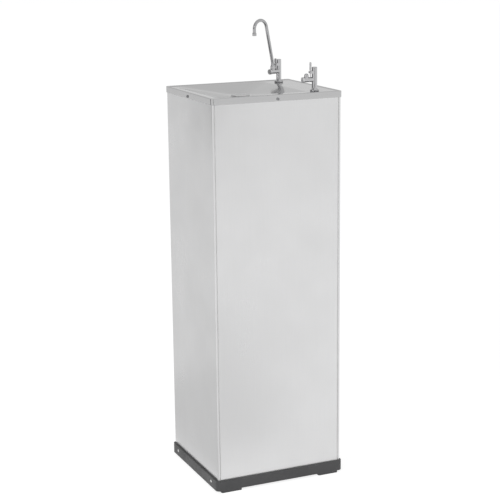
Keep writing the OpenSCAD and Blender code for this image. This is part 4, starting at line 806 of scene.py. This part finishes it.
def capillary():
    """Fine tube from the drier up to the evaporator."""
    tube_r, behind, drop = 1.3, 48.0, 36.0
    turn, slant_z = (57.5, 104.0), 244.0
    drier, drier_z = middle("filter_drier"), corners("filter_drier")[0].z
    x, y = TANK_X - COIL_R, FOAM_Y + behind
    route = rounded_route([
        (drier.x, drier.y, drier_z), (drier.x, drier.y, drier_z - drop), (*turn, drier_z - drop),
        (x, y, slant_z), (x, y, COIL_Z), (x, FOAM_Y, COIL_Z)
    ], LINE_BEND)
    sweep("capillary", route, tube_r, "capillary_tube", sides=12)


def condenser_pipe():
    """Riser and serpentine on the rear, down to the drier."""
    runs, pitch, bend = 10, 46.0, 22.5
    low, high = corners("condenser_tube")
    reach, top_z = high.x - CONDENSER_R, high.z - CONDENSER_R
    points = [(RISER_X, low.z), (RISER_X, top_z)]
    for i in range(runs):
        x, z = (reach if i % 2 == 0 else -reach), top_z - pitch * i
        points += [(x, z), (x, z - pitch)]
    points += [(reach, top_z - pitch * runs), (reach, corners("filter_drier")[1].z)]
    route = rounded_route([(x, CONDENSER_Y, z) for x, z in points], bend)
    sweep("condenser_pipe", route, CONDENSER_R, "condenser_tube", sides=16)


def evaporator_pipe():
    """Coil round the tank, with a straight lead at each end."""
    steps = 32
    route = [Vector((TANK_X - COIL_R, FOAM_Y, COIL_Z))]
    for i in range(int(COIL_TURNS * steps) + 1):
        t = math.pi + 2 * math.pi * i / steps
        route.append(Vector((TANK_X + COIL_R * math.cos(t), TANK_Y + COIL_R * math.sin(t),
                             COIL_Z + COIL_PITCH * i / steps)))
    route.append(Vector((TANK_X + COIL_R, FOAM_Y, COIL_END_Z)))
    sweep("evaporator_pipe", route, LINE_R, "evaporator_coil", sides=12)


def sensor_line():
    """Thermostat's fine tube, with its bulb on the wall of the tank."""
    tube_r, wall_r, bearing, over_z = 1.2, 68.4, math.radians(105), 834.4
    # Height over the bulb's tip, and radius there
    neck, bulb = 38.5, ((37.0, 1.6), (35.5, 2.8), (34.0, 3.0), (4.0, 3.0), (1.5, 2.4), (0.0, 1.0))
    tip_z = corners("sensor_tube")[0].z
    x, y = TANK_X + wall_r * math.cos(bearing), TANK_Y + wall_r * math.sin(bearing)
    body_y, body_z = middle("thermostat_body").y, corners("thermostat_body")[0].z
    route = rounded_route([
        (x, body_y, body_z), (x, body_y, over_z), (x, y, over_z), (x, y, tip_z + neck)
    ], LINE_BEND)
    radii = [tube_r] * len(route)
    for height, r in bulb:
        route.append(Vector((x, y, tip_z + height)))
        radii.append(r)
    sweep("sensor_line", route, radii, "sensor_tube", sides=16)


pressed_top()
turned_drain()
seam_bead("left_bead", -1)
seam_bead("right_bead", 1)
gooseneck()
drain_pipe()
supply_pipes()
filter_pipes()
discharge_pipe()
suction_pipe()
capillary()
condenser_pipe()
evaporator_pipe()
sensor_line()
spring("glass_coil", "glass_spring", GLASS_TAP)
spring("jet_coil", "jet_spring", JET_TAP)

# Width of the broken edges on the solids that show as they are, in mm
EDGES = {
    0.2: ["lever_pins", "cabinet_screws", "drain_strainer", "tap_gaskets"],
    0.3: ["tap_caps", "gooseneck_collar", "spout_tip", "jet_nozzle", "compressor_bolts"],
    0.35: ["glass_tap_body", "jet_tap_body"],
    0.4: ["condenser_clips", "filter_clips", "tap_nuts", "bulkhead_nuts", "outlet_tee"],
    0.5: ["glass_lever", "jet_lever", "thermostat_knob", "compressor", "inlet_fitting", "drain_outlet",
          "cord_gland", "drain_nut"],
    0.6: ["compressor_mounts", "filter_drier"],
    0.8: ["thermostat_body"],
    1.0: ["base_plinth", "feet"],
    1.2: ["insulation_front", "insulation_rear"],
    1.5: ["terminal_cover"],
}
for width, names in EDGES.items():
    for name in names:
        soften(name, width)


# Studio, in metres

# Tones of the surround that the metal mirrors, by height from level to overhead
REAR_TONES = ((0.0, 0.80), (0.08, 0.74), (0.25, 0.70), (0.5, 0.72), (1.0, 0.88))
FRONT_TONES = ((0.0, 1.0), (0.08, 0.99), (0.25, 0.93), (0.5, 0.88), (1.0, 0.88))


class Stage(Nodes):
    """Nodes of a studio material or world, from an empty tree."""

    def __init__(self, owner):
        super().__init__(owner)
        self.tree.nodes.clear()

    def rays(self):
        """Sockets that tell the kinds of light ray apart."""
        return self.add("ShaderNodeLightPath").outputs

    def paint(self, kind, tone, strength=None):
        """Plain grey shader."""
        node = self.add(kind)
        node.inputs["Color"].default_value = (*grey(tone), 1.0)
        if strength is not None:
            node.inputs["Strength"].default_value = strength
        return node

    def choose(self, factor, a, b):
        """Shader a where the factor is 0, and b where it is 1."""
        mix = self.add("ShaderNodeMixShader")
        for source, socket in zip((factor, a, b), mix.inputs):
            self.feed(source, socket)
        return mix.outputs[0]

    def graded(self, value, stops):
        """Grey by a value, through stops of place and tone."""
        ramp = self.add("ShaderNodeValToRGB")
        elements = ramp.color_ramp.elements
        while len(elements) < len(stops):
            elements.new(0.5)
        for element, (at, tone) in zip(elements, stops):
            element.position = at
            element.color = (*grey(tone), 1.0)
        self.feed(value, ramp.inputs[0])
        return ramp.outputs["Color"]


def stage_mesh(name, verts, faces, material):
    mesh = bpy.data.meshes.new(name)
    mesh.from_pydata(verts, [], faces)
    mesh.materials.append(material)
    obj = bpy.data.objects.new(name, mesh)
    bpy.context.scene.collection.objects.link(obj)
    return obj


def floor():
    """White floor that keeps a pale shadow."""
    half, shade, lit_shade, glow_strength = 60.0, 0.62, 0.30, 0.82
    material = bpy.data.materials.new("studio_floor")
    s = Stage(material)
    rays = s.rays()
    seen = s.math("MAXIMUM", rays["Is Camera Ray"], rays["Is Glossy Ray"])
    seen = s.math("MAXIMUM", seen, rays["Is Transmission Ray"])
    unseen = s.paint("ShaderNodeBsdfDiffuse", shade)
    lit = s.paint("ShaderNodeBsdfDiffuse", lit_shade)
    glow = s.paint("ShaderNodeEmission", 1.0, glow_strength)
    both = s.add("ShaderNodeAddShader")
    s.feed(lit.outputs[0], both.inputs[0])
    s.feed(glow.outputs[0], both.inputs[1])
    surface = s.choose(seen, unseen.outputs[0], both.outputs[0])
    s.feed(surface, s.add("ShaderNodeOutputMaterial").inputs["Surface"])
    verts = [(-half, -half, 0), (half, -half, 0), (half, half, 0), (-half, half, 0)]
    return stage_mesh("studio_floor", verts, [[0, 1, 2, 3]], material)


def flag(name, verts, faces, tone):
    """Card of a plain grey that shows only in the metal."""
    material = bpy.data.materials.new(name)
    s = Stage(material)
    glow = s.paint("ShaderNodeEmission", tone)
    s.feed(glow.outputs[0], s.add("ShaderNodeOutputMaterial").inputs["Surface"])
    obj = stage_mesh(name, verts, faces, material)
    obj.visible_camera = False
    obj.visible_diffuse = False
    obj.visible_shadow = False
    obj.visible_transmission = False
    return obj


def curved_flag(name, first, last, low, high, tone):
    """Upright card bent round the taps from one bearing to another, in degrees."""
    x, y, radius, steps = 0.114, -0.01, 0.9, 12
    verts, faces = [], []
    for i in range(steps + 1):
        a = math.radians(first + (last - first) * i / steps)
        verts += [(x + radius * math.cos(a), y + radius * math.sin(a), z) for z in (low, high)]
    for i in range(steps):
        faces.append([2 * i, 2 * i + 2, 2 * i + 3, 2 * i + 1])
    return flag(name, verts, faces, tone)


def flat_flag(name, outline, z, tone):
    """Level card just over the floor."""
    return flag(name, [(x, y, z) for x, y in outline], [list(range(len(outline)))], tone)


def lamp(name, place, aim, size, power, mirrored):
    """Square soft light. The metal shows it only if it is mirrored."""
    data = bpy.data.lights.new(name, "AREA")
    data.shape = "SQUARE"
    data.size = size
    data.energy = power
    obj = bpy.data.objects.new(name, data)
    obj.location = place
    obj.rotation_euler = (Vector(aim) - Vector(place)).to_track_quat("-Z", "Y").to_euler()
    obj.visible_glossy = mirrored
    bpy.context.scene.collection.objects.link(obj)
    return obj


def world():
    """White surround, soft for diffuse light, and in mirrors brighter in front and darker on the left."""
    blend_y, dim_x, full_x = 0.35, -0.75, -0.15
    dim_strength, soft_strength = 0.62, 0.62
    studio = bpy.data.worlds.new("studio")
    s = Stage(studio)
    rays = s.rays()
    place = s.add("ShaderNodeSeparateXYZ")
    s.feed(s.add("ShaderNodeTexCoord").outputs["Generated"], place.inputs[0])
    sides = s.add("ShaderNodeMix", data_type="RGBA")
    s.feed(s.fit(place.outputs["Y"], 0.0, 1.0, start=blend_y, end=-blend_y), sides.inputs["Factor"])
    s.feed(s.graded(place.outputs["Z"], REAR_TONES), sides.inputs[MIX_A])
    s.feed(s.graded(place.outputs["Z"], FRONT_TONES), sides.inputs[MIX_B])
    mirror = s.add("ShaderNodeBackground")
    s.feed(sides.outputs[MIX_RESULT], mirror.inputs["Color"])
    strength = s.fit(place.outputs["X"], dim_strength, 1.0, start=dim_x, end=full_x)
    s.feed(strength, mirror.inputs["Strength"])
    soft = s.paint("ShaderNodeBackground", 1.0, soft_strength)
    white = s.paint("ShaderNodeBackground", 1.0)
    seen = s.math("MAXIMUM", rays["Is Camera Ray"], rays["Is Transmission Ray"])
    unseen = s.choose(rays["Is Glossy Ray"], soft.outputs[0], mirror.outputs[0])
    surface = s.choose(seen, unseen, white.outputs[0])
    s.feed(surface, s.add("ShaderNodeOutputWorld").inputs["Surface"])
    bpy.context.scene.world = studio


def camera():
    """Camera at the photograph's angle, for a square frame."""
    place, lens, sensor, far = (-1.376, -3.120, 1.362), 100.68, 36.0, 200.0
    yaw, pitch, roll = (math.radians(a) for a in (23.638, 13.157, -0.637))
    ahead = Vector((math.sin(yaw) * math.cos(pitch), math.cos(yaw) * math.cos(pitch), -math.sin(pitch)))
    right = Vector((math.cos(yaw), -math.sin(yaw), 0))
    up = right.cross(ahead)
    x = math.cos(roll) * right + math.sin(roll) * up
    y = math.cos(roll) * up - math.sin(roll) * right
    data = bpy.data.cameras.new("camera")
    data.lens = lens
    data.sensor_width = sensor
    data.clip_end = far
    obj = bpy.data.objects.new("camera", data)
    obj.matrix_world = Matrix.Translation(place) @ Matrix((x, y, -ahead)).transposed().to_4x4()
    bpy.context.scene.collection.objects.link(obj)
    bpy.context.scene.camera = obj


floor()
world()
camera()

# Cards that show only in the metal: dark ones round the taps, pale grey ones just over the floor
curved_flag("flag_left", first=139, last=168, low=0.775, high=0.96, tone=0.02)
curved_flag("flag_front", first=256, last=268, low=0.785, high=0.96, tone=0.08)
flat_flag("floor_left", [(-7, -0.3), (-0.21, -0.3), (-0.21, 14), (-7, 14)], z=0.004, tone=0.88)
flat_flag("floor_near", [(-1.2, -0.3), (-0.205, -0.3), (-0.205, 0.75), (-1.2, 0.75)], z=0.006, tone=0.76)
flat_flag("floor_front", [(-0.4, -0.4), (0.1, -0.4), (0.62, -1.7), (-0.4, -1.7)], z=0.004, tone=0.88)
flat_flag("floor_far", [(-0.5, 5.0), (4.5, 2.5), (45, 25), (-5, 58)], z=0.004, tone=0.72)
lamp("key", place=(-2.6, -1.5, 2.4), aim=(0, 0, 0.5), size=1.8, power=45, mirrored=False)
lamp("glint", place=(-2.6, -1.5, 2.4), aim=(0, 0, 1.0), size=0.8, power=9, mirrored=True)
lamp("fill", place=(1.6, -3.2, 1.8), aim=(0, 0, 0.6), size=2.0, power=25, mirrored=False)

bpy.context.scene.view_settings.view_transform = "Standard"
